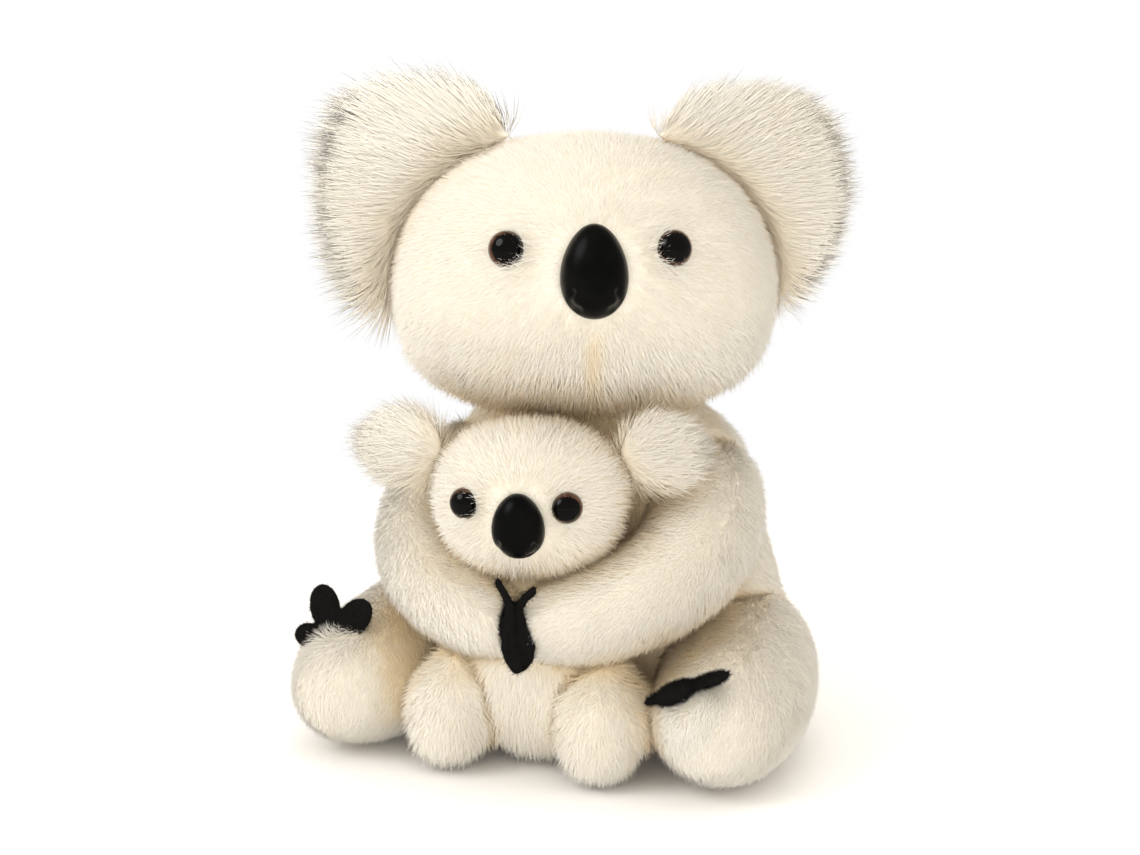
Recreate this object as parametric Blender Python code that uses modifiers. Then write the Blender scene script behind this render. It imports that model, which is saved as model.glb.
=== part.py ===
"""Sitting plush koala that hugs its baby: sewn covers over fibre filling, moulded eyes and noses, felt claws.

Metres, +Z up. The toy faces -Y and its own left side is +X. The origin is on the floor under the seat.
"""

import math

import bmesh
import bpy
from mathutils import Matrix, Vector

X_AXIS = Vector((1, 0, 0))
Z_AXIS = Vector((0, 0, 1))

# Cloth and the room that the pieces leave each other
COVER_THICKNESS = 0.004
FIT_GAP = 0.0003
SWING_GAP = 0.0006
FLOOR_SINK = 0.0005
CUT_OVERRUN = 0.02
SWING_STEP = math.radians(13)
MERGE_WITHIN = 0.00001
SLOPE_STEP_SHARE = 0.01
SHARP_ANGLE = math.radians(50)

# Adult's body, whose section shares are of the height, the half width and the half depth
BODY_HEIGHT = 0.150
BODY_HALF_WIDTH = 0.071
BODY_HALF_DEPTH = 0.053
BODY_SET_BACK = 0.005
BODY_SECTION_SHARES = (
    (0.00, 0.78, 0.80),
    (0.13, 1.00, 1.00),
    (0.34, 1.02, 1.02),
    (0.55, 0.84, 0.90),
    (0.75, 0.75, 0.84),
    (0.94, 0.62, 0.68),
)
BODY_SIDES = 14

# The dome on the adult's body that the head turns on
NECK_DOME_RADIUS = 0.080
NECK_DOME_TOP = 0.137
NECK_DOME_SIDES = 30
NECK_FORWARD = 0.012
NECK_ASIDE = 0.0032
FILLING_HOLE_RADIUS = 0.014
DOME_REACH_SHARE = 0.82
DOME_RINGS = 5
HIDDEN_DOME_SIDES = 12
HIDDEN_DOME_RINGS = 3

# Adult's head, whose section shares are of its height, its half width and its half depth
HEAD_HALF_WIDTH = 0.070
HEAD_HALF_DEPTH = 0.058
HEAD_HALF_HEIGHT = 0.054
HEAD_CENTRE_UP = 0.173
HEAD_FORWARD = 0.007
HEAD_YAW = math.radians(22)
HEAD_SECTION_SHARES = (
    (0.07, 0.68, 0.62),
    (0.25, 1.00, 0.95),
    (0.46, 1.04, 1.03),
    (0.68, 0.96, 0.94),
    (0.89, 0.66, 0.66),
)
HEAD_SIDES = 14

# Adult's ears, whose place shares are of the head's half width, half depth and half height
EAR_HALF_WIDTH = 0.039
EAR_HALF_HEIGHT = 0.047
EAR_HALF_THICKNESS = 0.0085
EAR_CUP = 0.007
EAR_CENTRE_SHARES = (0.83, 0.16, 0.45)
EAR_HINGE_SHARES = (0.80, 0.16, 0.25)
EAR_HINGE_LEAN = math.radians(22)
EAR_SWING = math.radians(15)
EAR_SIDES = 8

# Both pairs of ears
EAR_SECTION_SHARES = (
    (0.10, 0.55, 0.70),
    (0.34, 0.98, 1.00),
    (0.64, 1.06, 1.00),
    (0.90, 0.70, 0.75),
)

# Adult's arms, whose spine shares are of the body's half width, the hug's reach and the body's height
HUG_REACH = 0.091
ARM_RADIUS = 0.023
ARM_SPINE_SHARES = (
    (0.48, 0.04, 0.69),
    (0.98, -0.34, 0.585),
    (0.86, -0.98, 0.345),
    (-0.16, -1.01, 0.385),
)
ARM_SECTION_SHARES = (
    (0.07, 0.85, 0.85),
    (0.26, 1.02, 1.02),
    (0.50, 0.96, 0.96),
    (0.74, 0.78, 0.78),
    (0.93, 0.58, 0.58),
)
ARM_SIDES = 8
ARM_HINGE_SHARES = (0.72, 0.20, 0.69)
ARM_HINGE_LEAN = math.radians(25)
ARM_SWING = math.radians(25)

# Adult's legs, whose spine shares are of the body's half width, the leg's reach and the leg's radius
LEG_REACH = 0.100
LEG_RADIUS = 0.0275
LEG_SPINE_SHARES = (
    (0.46, 0.18, 1.20),
    (0.92, 0.05, 1.35),
    (1.01, -0.55, 0.80),
    (0.99, -1.00, 0.92),
)
LEG_SECTION_SHARES = (
    (0.08, 0.85, 0.85),
    (0.30, 1.14, 1.08),
    (0.54, 1.06, 0.98),
    (0.76, 1.04, 0.92),
    (0.94, 0.74, 0.68),
)
LEG_SIDES = 8
LEG_HINGE_SHARES = (0.98, 0.30, 1.20)
LEG_SWING = math.radians(15)

# Baby's body
BABY_BODY_HEIGHT = 0.086
BABY_BODY_HALF_WIDTH = 0.029
BABY_BODY_HALF_DEPTH = 0.027
BABY_FORWARD = 0.064
BABY_BODY_SECTION_SHARES = (
    (0.06, 0.60, 0.55),
    (0.30, 1.03, 1.00),
    (0.60, 0.99, 0.99),
    (0.90, 0.78, 0.78),
)
BABY_BODY_SIDES = 8

# The dome on the baby's body that its head turns on
BABY_DOME_RADIUS = 0.034
BABY_DOME_TOP = 0.080
BABY_DOME_SIDES = 20
BABY_NECK_ASIDE = 0.003
BABY_FILLING_HOLE_RADIUS = 0.007

# Baby's head
BABY_HEAD_HALF_WIDTH = 0.0365
BABY_HEAD_HALF_DEPTH = 0.031
BABY_HEAD_HALF_HEIGHT = 0.0295
BABY_HEAD_CENTRE_UP = 0.100
BABY_HEAD_FORWARD = 0.010
BABY_HEAD_YAW = math.radians(12)
BABY_HEAD_SECTION_SHARES = (
    (0.08, 0.54, 0.56),
    (0.30, 0.96, 0.95),
    (0.62, 1.02, 1.00),
    (0.88, 0.68, 0.68),
)
BABY_HEAD_SIDES = 12

# Baby's ears, whose place shares are of its head's half width, half depth and half height
BABY_EAR_HALF_WIDTH = 0.0165
BABY_EAR_HALF_HEIGHT = 0.0155
BABY_EAR_HALF_THICKNESS = 0.006
BABY_EAR_CUP = 0.002
BABY_EAR_CENTRE_SHARES = (1.26, 0.10, 0.55)
BABY_EAR_HINGE_SHARES = (0.90, 0.10, 0.50)
BABY_EAR_HINGE_LEAN = math.radians(15)
BABY_EAR_SWING = math.radians(12)
BABY_EAR_SIDES = 6

# Baby's legs, whose spine shares are of its body's half width, its leg's reach and its leg's radius
BABY_LEG_REACH = 0.088
BABY_LEG_RADIUS = 0.0175
BABY_LEG_SPINE_SHARES = (
    (0.50, -0.70, 1.60),
    (1.15, -0.80, 2.70),
    (1.05, -0.99, 2.40),
    (0.93, -0.98, 0.00),
)
BABY_LEG_SECTION_SHARES = (
    (0.12, 0.80, 0.80),
    (0.36, 0.96, 0.96),
    (0.66, 1.06, 1.06),
    (0.90, 0.94, 0.94),
)
BABY_LEG_SIDES = 8

# Moulded eyes, each a dome on a stem that a washer locks behind the cover
EYE_RADIUS = 0.007
EYE_DOME_HEIGHT = 0.0055
EYE_SINK = 0.0015
EYE_SPREAD = math.radians(31)
EYE_RISE = math.radians(14)
BABY_EYE_RADIUS = 0.006
BABY_EYE_DOME_HEIGHT = 0.0045
BABY_EYE_SPREAD = math.radians(36)
BABY_EYE_TURN = math.radians(-3)
BABY_EYE_RISE = math.radians(4)
STEM_RADIUS = 0.002
STEM_LENGTH = 0.010
WASHER_RADIUS = 0.0055
WASHER_THICKNESS = 0.0014
WASHER_SEAT_SHARE = 0.95
TURNED_SIDES = 12

# Moulded noses
NOSE_HALF_WIDTH = 0.012
NOSE_HALF_HEIGHT = 0.0172
NOSE_PROTRUSION = 0.0105
NOSE_RISE = math.radians(9)
NOSE_SINK = 0.0025
BABY_NOSE_HALF_WIDTH = 0.0096
BABY_NOSE_HALF_HEIGHT = 0.0122
BABY_NOSE_PROTRUSION = 0.008
BABY_NOSE_RISE = math.radians(-5)
NOSE_TAPER_SHARE = 0.14
NOSE_SIDES = 16
NOSE_RINGS = 10
NOSTRIL_SIDES = 8
NOSTRIL_PLACE_SHARES = (0.50, -0.56, 0.72)
NOSTRIL_SIZE_SHARES = (0.20, 0.15, 0.24)

# Felt claws, three to a paw in a fan, whose place shares are of the spine's units
CLAW_TIP_RADIUS = 0.019
CLAW_NOTCH_RADIUS = 0.009
CLAW_ROOT_DEPTH = 0.002
CLAW_THICKNESS = 0.0016
CLAW_FAN = math.radians(60)
CLAW_ROUNDING_SHARE = 0.6
CLAW_POINTS = 6
HAND_CLAWS_SHARES = (0.985, 0.405)
HAND_CLAWS_TILT = math.radians(-5)
RIGHT_FOOT_CLAWS_SHARES = (-1.07, -0.79, 1.49)
RIGHT_FOOT_CLAWS_RISE = math.radians(78)
RIGHT_FOOT_CLAWS_TURN = math.radians(-12)
LEFT_FOOT_CLAWS_SHARES = (0.86, -0.81, 1.44)
LEFT_FOOT_CLAWS_RISE = math.radians(4)
LEFT_FOOT_CLAWS_ROLL = math.radians(25)


# Scene, materials and mesh helpers


def clear_scene():
    for obj in list(bpy.data.objects):
        bpy.data.objects.remove(obj)


def make_collection(name):
    collection = bpy.data.collections.new(name)
    bpy.context.scene.collection.children.link(collection)
    return collection


def make_material(name, colour, roughness, metallic=0.0):
    material = bpy.data.materials.new(name)
    material.use_nodes = True
    shader = material.node_tree.nodes["Principled BSDF"]
    shader.inputs["Base Color"].default_value = (*colour, 1)
    shader.inputs["Roughness"].default_value = roughness
    shader.inputs["Metallic"].default_value = metallic
    return material


def in_workshop(name, mesh):
    """A new object of this mesh in the workshop collection."""
    obj = bpy.data.objects.new(name, mesh)
    WORKSHOP.objects.link(obj)
    return obj


def object_from_bmesh(name, work):
    mesh = bpy.data.meshes.new(name)
    work.to_mesh(mesh)
    work.free()
    return in_workshop(name, mesh)


def evaluated_mesh(obj):
    """A new mesh of the object with its modifiers applied."""
    bpy.context.view_layer.update()
    graph = bpy.context.evaluated_depsgraph_get()
    return bpy.data.meshes.new_from_object(obj.evaluated_get(graph), depsgraph=graph)


def applied(obj):
    """The object with its modifiers and its placing applied to its mesh."""
    mesh = evaluated_mesh(obj)
    mesh.transform(obj.matrix_world)
    name = obj.name
    bpy.data.objects.remove(obj)
    return in_workshop(name, mesh)


def copy_of(obj, matrix=None):
    """A copy with its own mesh, moved by the matrix if one is given."""
    mesh = obj.data.copy()
    if matrix is not None:
        mesh.transform(matrix)
    return in_workshop(obj.name, mesh)


def is_closed(mesh):
    """Whether the mesh has faces, and exactly two of them at each edge."""
    work = bmesh.new()
    work.from_mesh(mesh)
    closed = bool(work.faces) and all(edge.is_manifold for edge in work.edges)
    work.free()
    return closed


def combine(obj, other, operation):
    """Obj joined with, cut by or limited to other. Other stays as it was.

    Some pairs of close, nearly parallel surfaces make the exact solver return nothing or an open mesh.
    Those go to the manifold solver.
    """
    modifier = obj.modifiers.new(operation.lower(), "BOOLEAN")
    modifier.operation = operation
    modifier.solver = "EXACT"
    modifier.object = other
    if not is_closed(evaluated_mesh(obj)):
        modifier.solver = "MANIFOLD"
    return applied(obj)


def cut(obj, *cutters):
    for cutter in cutters:
        obj = combine(obj, cutter, "DIFFERENCE")
    return obj


def turned_about(obj, pivot, axis, angle):
    """A copy of obj turned about the axis through pivot."""
    turn = Matrix.Rotation(angle, 4, axis)
    return copy_of(obj, Matrix.Translation(pivot) @ turn @ Matrix.Translation(-pivot))


def swing_copies(cutter, pivot, axis, low, high):
    """The cutter turned about a hinge, at steps from low to high."""
    steps = math.ceil(abs(high - low) / SWING_STEP)
    angles = [low + (high - low) * step / steps for step in range(steps + 1)]
    return [turned_about(cutter, pivot, axis, angle) for angle in angles]


def mirrored(obj):
    """A copy of obj on the toy's other side."""
    twin = copy_of(obj, Matrix.Scale(-1, 4, X_AXIS))
    twin.data.flip_normals()
    return twin


# Soft forms and turned solids


def scaled_profile(shares, half_width, half_depth):
    return [(share, width * half_width, depth * half_depth) for share, width, depth in shares]


def scaled_points(shares, units):
    return [Vector([part * unit for part, unit in zip(point, units)]) for point in shares]


def spine_point(points, share):
    """The point at this share of the Bezier curve that the control points make."""
    while len(points) > 1:
        points = [a.lerp(b, share) for a, b in zip(points, points[1:])]
    return points[0]


def spine_direction(points, share):
    ahead = spine_point(points, min(share + SLOPE_STEP_SHARE, 1))
    behind = spine_point(points, max(share - SLOPE_STEP_SHARE, 0))
    return (ahead - behind).normalized()


def soft_form(name, points, profile, sides, inset=0.0, across=X_AXIS, cup=0.0):
    """A stuffed form: the rings of a ball moved to the sections along a spine, then subdivided once.

    profile holds (share of the spine, half width, half depth), and the half width lies along across.
    A form with a positive inset is hidden, so it is a plain cage, that far inside the surface.
    cup bends the sides of an upright form towards -Y, as an ear's rim is.
    """
    widest = max(width for _, width, _ in profile)
    # Subdividing draws a round ring in by this share, so the cage stands proud by as much.
    drawn_in = (2 + math.cos(2 * math.pi / sides)) / 3
    poles_and_rings = [(0, 0, 0), *profile, (1, 0, 0)]
    work = bmesh.new()
    bmesh.ops.create_uvsphere(work, u_segments=sides, v_segments=len(profile) + 1, radius=1)
    for vertex in work.verts:
        ring = round(math.acos(max(-1, min(1, -vertex.co.z))) / math.pi * (len(profile) + 1))
        turn = math.atan2(vertex.co.y, vertex.co.x)
        share, width, depth = poles_and_rings[ring]
        along = spine_direction(points, share)
        normal = along.cross(across).normalized()
        side = normal.cross(along).normalized()
        out = width * math.cos(turn) / drawn_in
        back = depth * math.sin(turn) / drawn_in - cup * (out / widest) ** 2
        vertex.co = spine_point(points, share) + side * out + normal * back
    if work.calc_volume(signed=True) < 0:
        bmesh.ops.reverse_faces(work, faces=work.faces)
    cage = object_from_bmesh(name, work)
    stuffed = copy_of(cage)
    smooth = stuffed.modifiers.new("stuffed", "SUBSURF")
    smooth.levels = smooth.render_levels = 1
    stuffed = applied(stuffed)
    # The subdivided mesh lists the cage's own points first.
    moved = [vertex.co - vertex.normal * inset for vertex in stuffed.data.vertices]
    form = cage if inset > 0 else stuffed
    for vertex, point in zip(form.data.vertices, moved):
        vertex.co = point
    # Each four-sided face is split the same way at every inset, so that no two insets cross.
    split = form.modifiers.new("split", "TRIANGULATE")
    split.quad_method = "FIXED"
    return applied(form)


def turned(name, profile, sides, matrix=Matrix.Identity(4)):
    """A solid of revolution. profile holds (radius, height) from the top down the outer side.

    A profile that ends where it starts makes a ring.
    """
    work = bmesh.new()
    closes = profile[0] == profile[-1]
    points = profile[:-1] if closes else profile
    verts = [work.verts.new((radius, 0, height)) for radius, height in points]
    verts += verts[:1] if closes else []
    for a, b in zip(verts, verts[1:]):
        work.edges.new((a, b))
    obj = object_from_bmesh(name, work)
    screw = obj.modifiers.new("turn", "SCREW")
    screw.steps = screw.render_steps = sides
    screw.use_merge_vertices = True
    screw.merge_threshold = MERGE_WITHIN
    obj.matrix_world = matrix
    return applied(obj)


def cylinder(name, radius, top, bottom, sides, matrix=Matrix.Identity(4)):
    return turned(name, [(0, top), (radius, top), (radius, bottom), (0, bottom)], sides, matrix)


def box(name, low, high):
    """An upright box between two corners."""
    work = bmesh.new()
    bmesh.ops.create_cube(work, size=1)
    size = Matrix.Diagonal((*(high - low), 1))
    bmesh.ops.transform(work, matrix=Matrix.Translation((low + high) / 2) @ size, verts=work.verts)
    return object_from_bmesh(name, work)


def floor_cutter():
    reach = BODY_HALF_WIDTH + LEG_REACH + CUT_OVERRUN
    return box("floor", Vector((-reach, -reach, -CUT_OVERRUN)), Vector((reach, reach, 0)))


def dome_limit(radius, top, reach, sides, grow):
    """All that lies under a neck dome of this radius, out to reach, about the upright axis.

    A dome that is grown or shrunk by a cover's thickness is hidden, and plainer.
    """
    hidden = abs(grow) >= COVER_THICKNESS
    sides = HIDDEN_DOME_SIDES if hidden else sides
    rings = HIDDEN_DOME_RINGS if hidden else DOME_RINGS
    centre = top - radius
    most = math.asin(DOME_REACH_SHARE)
    angles = [most * ring / rings for ring in range(rings + 1)]
    dome = [((radius + grow) * math.sin(a), centre + (radius + grow) * math.cos(a)) for a in angles]
    rim = dome[-1][1]
    return turned("dome", [*dome, (reach, rim), (reach, -CUT_OVERRUN), (0, -CUT_OVERRUN)], sides)


def settled(points, form):
    """The spine raised so that the form on it stands sunk into the floor by the depth of its flat."""
    rise = -FLOOR_SINK - min(vertex.co.z for vertex in form.data.vertices)
    return [point + Z_AXIS * rise for point in points]


# Shapes, each a function of how far the surface is inset


def adult_dome(grow):
    reach = BODY_HALF_WIDTH + BODY_HALF_DEPTH
    dome = dome_limit(NECK_DOME_RADIUS, NECK_DOME_TOP, reach, NECK_DOME_SIDES, grow)
    dome.data.transform(Matrix.Translation((-NECK_ASIDE, -NECK_FORWARD, 0)))
    return dome


def adult_body_form(inset):
    foot = Vector((0, BODY_SET_BACK, -FLOOR_SINK))
    profile = scaled_profile(BODY_SECTION_SHARES, BODY_HALF_WIDTH, BODY_HALF_DEPTH)
    form = soft_form("body", [foot, foot + Z_AXIS * BODY_HEIGHT], profile, BODY_SIDES, inset)
    return combine(form, adult_dome(-inset), "INTERSECT")


def adult_head_form(inset):
    """The head in its own frame, whose origin is on the neck's axis at the height of its centre."""
    centre = Vector((0, -HEAD_FORWARD, 0))
    up = Z_AXIS * HEAD_HALF_HEIGHT
    profile = scaled_profile(HEAD_SECTION_SHARES, HEAD_HALF_WIDTH, HEAD_HALF_DEPTH)
    return soft_form("head", [centre - up, centre + up], profile, HEAD_SIDES, inset)


def baby_dome(grow):
    reach = BABY_BODY_HALF_WIDTH + BABY_BODY_HALF_DEPTH
    dome = dome_limit(BABY_DOME_RADIUS, BABY_DOME_TOP, reach, BABY_DOME_SIDES, grow)
    dome.data.transform(Matrix.Translation((-BABY_NECK_ASIDE, -BABY_FORWARD, 0)))
    return dome


def baby_body_form(inset):
    foot = Vector((0, -BABY_FORWARD, -FLOOR_SINK))
    profile = scaled_profile(BABY_BODY_SECTION_SHARES, BABY_BODY_HALF_WIDTH, BABY_BODY_HALF_DEPTH)
    points = [foot, foot + Z_AXIS * BABY_BODY_HEIGHT]
    points = settled(points, soft_form("body", points, profile, BABY_BODY_SIDES))
    form = soft_form("body", points, profile, BABY_BODY_SIDES, inset)
    return combine(form, baby_dome(-inset), "INTERSECT")


def baby_head_form(inset):
    """The baby's head in its own frame, whose origin is on its neck's axis at the height of its centre."""
    centre = Vector((0, -BABY_HEAD_FORWARD, 0))
    up = Z_AXIS * BABY_HEAD_HALF_HEIGHT
    profile = scaled_profile(BABY_HEAD_SECTION_SHARES, BABY_HEAD_HALF_WIDTH, BABY_HEAD_HALF_DEPTH)
    return soft_form("head", [centre - up, centre + up], profile, BABY_HEAD_SIDES, inset)


def whole_arm_form(inset):
    points = scaled_points(ARM_SPINE_SHARES, (BODY_HALF_WIDTH, HUG_REACH, BODY_HEIGHT))
    profile = scaled_profile(ARM_SECTION_SHARES, ARM_RADIUS, ARM_RADIUS)
    return soft_form("arm", points, profile, ARM_SIDES, inset, Z_AXIS)


def arm_form(inset):
    """The left arm, cut flat where the two paws meet round the claws."""
    between = CLAW_THICKNESS + 2 * FIT_GAP + inset
    middle = box("between", Vector((-HUG_REACH, -2 * HUG_REACH, 0)), Vector((between, 0, BODY_HEIGHT)))
    return cut(whole_arm_form(inset), middle)


def leg_form(inset):
    points = scaled_points(LEG_SPINE_SHARES, (BODY_HALF_WIDTH, LEG_REACH, LEG_RADIUS))
    profile = scaled_profile(LEG_SECTION_SHARES, LEG_RADIUS, LEG_RADIUS)
    points = settled(points, soft_form("leg", points, profile, LEG_SIDES))
    return soft_form("leg", points, profile, LEG_SIDES, inset)


def baby_leg_form(inset):
    points = scaled_points(BABY_LEG_SPINE_SHARES, (BABY_BODY_HALF_WIDTH, BABY_LEG_REACH, BABY_LEG_RADIUS))
    profile = scaled_profile(BABY_LEG_SECTION_SHARES, BABY_LEG_RADIUS, BABY_LEG_RADIUS)
    points = settled(points, soft_form("baby_leg", points, profile, BABY_LEG_SIDES))
    return soft_form("baby_leg", points, profile, BABY_LEG_SIDES, inset)


# Places and hinges, each hinge a point and a direction


def head_place():
    centre = Matrix.Translation((-NECK_ASIDE, -NECK_FORWARD, HEAD_CENTRE_UP))
    return centre @ Matrix.Rotation(HEAD_YAW, 4, "Z")


def baby_head_place():
    centre = Matrix.Translation((-BABY_NECK_ASIDE, -BABY_FORWARD, BABY_HEAD_CENTRE_UP))
    return centre @ Matrix.Rotation(BABY_HEAD_YAW, 4, "Z")


def arm_hinge():
    x, y, z = ARM_HINGE_SHARES
    pivot = Vector((x * BODY_HALF_WIDTH, y * HUG_REACH, z * BODY_HEIGHT))
    return pivot, Vector((-math.sin(ARM_HINGE_LEAN), 0, math.cos(ARM_HINGE_LEAN)))


def leg_hinge():
    x, y, z = LEG_HINGE_SHARES
    return Vector((x * BODY_HALF_WIDTH, y * LEG_REACH, z * LEG_RADIUS)), Z_AXIS


def ear_hinge(shares, lean, forward, half_width, half_depth, half_height):
    x, y, z = shares
    pivot = Vector((x * half_width, y * half_depth - forward, z * half_height))
    return pivot, Vector((-math.sin(lean), 0, math.cos(lean)))


# Finished pieces


def add_joint(name, place, parent=None):
    """An empty on a joint's axis, which carries the pieces that turn with it."""
    joint = bpy.data.objects.new(name, None)
    PARTS.objects.link(joint)
    joint.parent = parent
    joint.matrix_basis = place
    return joint


def finish(obj, name, material, joint=None, pivot=None):
    """Keeps obj as a piece of the toy, with its origin on the joint that carries it."""
    if pivot is not None:
        obj.data.transform(Matrix.Translation(-pivot))
    obj.name = obj.data.name = name
    obj.data.materials.clear()
    obj.data.materials.append(material)
    obj.data.shade_smooth()
    obj.data.set_sharp_from_angle(angle=SHARP_ANGLE)
    obj.parent = joint
    WORKSHOP.objects.unlink(obj)
    PARTS.objects.link(obj)


def filled(form, closed=(), opened=(), cover_only=(), filling_only=()):
    """A sewn cover and the filling inside it.

    Closed cutters, functions of an inset, dent both. Opened ones leave the cover open where it is sewn
    to a larger piece, and the last two kinds cut one of the two pieces.
    """
    core = COVER_THICKNESS + FIT_GAP
    outer = cut(form(0), *[cutter for make in closed for cutter in make(0)])
    inner = cut(form(COVER_THICKNESS), *[cutter for make in closed for cutter in make(COVER_THICKNESS)])
    filling = cut(form(core), *[cutter for make in closed for cutter in make(core)])
    return cut(outer, inner, *opened, *cover_only), cut(filling, *opened, *filling_only)


def surface_place(form, centre, yaw, rise):
    """The frame on a form's surface seen from its centre: Z out, X to the toy's left, Y up."""
    out = Vector((math.sin(yaw) * math.cos(rise), -math.cos(yaw) * math.cos(rise), math.sin(rise)))
    bpy.context.view_layer.update()
    _, point, _, _ = form.ray_cast(centre, out)
    across = Z_AXIS.cross(out).normalized()
    turn = Matrix((across, out.cross(across), out)).transposed()
    return Matrix.Translation(point) @ turn.to_4x4()


def stem_profile(sink):
    """The outline of the stem below a fitting that is sunk this deep."""
    return [(STEM_RADIUS, -sink), (STEM_RADIUS, -sink - STEM_LENGTH), (0, -sink - STEM_LENGTH)]


def stem_room_profile(sink):
    """The outline of the hole for that stem, with the room for its washer."""
    stem = STEM_RADIUS + FIT_GAP
    washer_side = WASHER_RADIUS + FIT_GAP
    seat = -WASHER_SEAT_SHARE * COVER_THICKNESS
    behind = seat - WASHER_THICKNESS - 2 * FIT_GAP
    end = -sink - STEM_LENGTH - FIT_GAP
    hole = [(stem, -sink - FIT_GAP), (stem, seat)]
    return [*hole, (washer_side, seat), (washer_side, behind), (stem, behind), (stem, end), (0, end)]


def filling_room(sink, place):
    """The room for a stem and its washer, open to the outside of the filling."""
    shaft = stem_room_profile(sink)[3:]
    top = [(0, CUT_OVERRUN), (shaft[0][0], CUT_OVERRUN)]
    return turned("room", [*top, *shaft], TURNED_SIDES, place)


def eye(radius, height, place, grow=0.0):
    """A domed safety eye with its stem, or the cutter for its hole and washer if grown."""
    steps = TURNED_SIDES // 3
    angles = [math.pi / 2 * step / steps for step in range(steps + 1)]
    dome = [((radius + grow) * math.sin(a), (height + grow) * math.cos(a)) for a in angles]
    rim = (radius + grow, -EYE_SINK - grow)
    stem = stem_room_profile(EYE_SINK) if grow else stem_profile(EYE_SINK)
    return turned("eye", [*dome, rim, *stem], TURNED_SIDES, place)


def nose(half_width, half_height, protrusion, place, grow=0.0):
    """An egg-shaped nose with its stem, flat at the back, narrower at the top, or its cutter if grown."""
    work = bmesh.new()
    bmesh.ops.create_uvsphere(work, u_segments=NOSE_SIDES, v_segments=NOSE_RINGS, radius=1)
    for vertex in work.verts:
        taper = 1 - NOSE_TAPER_SHARE * vertex.co.y
        x = vertex.co.x * (half_width + grow) * taper
        y = vertex.co.y * (half_height + grow)
        vertex.co = (x, y, max(vertex.co.z * (protrusion + grow), -NOSE_SINK - grow))
    egg = object_from_bmesh("nose", work)
    egg.matrix_world = place
    outline = stem_room_profile(NOSE_SINK) if grow else stem_profile(NOSE_SINK)
    inside = [(0, protrusion / 2), (outline[0][0], protrusion / 2)]
    stem = turned("stem", [*inside, *outline[1:]], TURNED_SIDES, place)
    return combine(applied(egg), stem, "UNION")


def with_nostrils(egg, half_width, half_height, protrusion, place):
    """The nose with a dent for each nostril."""
    x, y, z = NOSTRIL_PLACE_SHARES
    units = (half_width, half_height, protrusion)
    size = [share * unit for share, unit in zip(NOSTRIL_SIZE_SHARES, units)]
    for side in (-1, 1):
        work = bmesh.new()
        bmesh.ops.create_uvsphere(work, u_segments=NOSTRIL_SIDES, v_segments=NOSTRIL_SIDES // 2, radius=1)
        nostril = object_from_bmesh("nostril", work)
        spot = Matrix.Translation((side * x * half_width, y * half_height, z * protrusion))
        nostril.matrix_world = place @ spot @ Matrix.Diagonal((*size, 1))
        egg = cut(egg, applied(nostril))
    return egg


def washer(place):
    """A lock washer on the stem, against the back of the cover."""
    top = -WASHER_SEAT_SHARE * COVER_THICKNESS - FIT_GAP
    bottom = top - WASHER_THICKNESS
    hole = STEM_RADIUS + FIT_GAP
    ring = [(hole, top), (WASHER_RADIUS, top), (WASHER_RADIUS, bottom), (hole, bottom), (hole, top)]
    return turned("washer", ring, TURNED_SIDES, place)


def claws(place, grow=0.0):
    """A felt piece of three round lobes, the middle one along +Y, or the cutter for its slot if grown."""
    notch = CLAW_NOTCH_RADIUS + grow
    length = CLAW_TIP_RADIUS - CLAW_NOTCH_RADIUS
    outline = [(notch, -CLAW_ROOT_DEPTH - grow), (-notch, -CLAW_ROOT_DEPTH - grow)]
    for point in range(3 * CLAW_POINTS + 1):
        lobes = point / CLAW_POINTS
        radius = notch + length * abs(math.sin(math.pi * lobes)) ** CLAW_ROUNDING_SHARE
        angle = (lobes - 3 / 2) * CLAW_FAN
        outline.append((radius * math.sin(angle), radius * math.cos(angle)))
    curve = bpy.data.curves.new("claws", "CURVE")
    curve.dimensions = "2D"
    curve.fill_mode = "BOTH"
    curve.extrude = CLAW_THICKNESS / 2 + grow
    spline = curve.splines.new("POLY")
    spline.use_cyclic_u = True
    spline.points.add(len(outline) - 1)
    for point, (x, y) in zip(spline.points, outline):
        point.co = (x, y, 0, 1)
    obj = bpy.data.objects.new("claws", curve)
    WORKSHOP.objects.link(obj)
    obj.matrix_world = place
    obj = applied(obj)
    work = bmesh.new()
    work.from_mesh(obj.data)
    bmesh.ops.remove_doubles(work, verts=work.verts, dist=MERGE_WITHIN)
    bmesh.ops.recalc_face_normals(work, faces=work.faces)
    work.to_mesh(obj.data)
    work.free()
    return obj


def claws_place(centre, middle, normal):
    """The claws' frame round centre: Y along the middle lobe, Z square to the felt."""
    basis = Matrix((middle.cross(normal).normalized(), middle, normal)).transposed().to_4x4()
    return Matrix.Translation(centre) @ basis


# The toy, piece by piece


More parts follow.
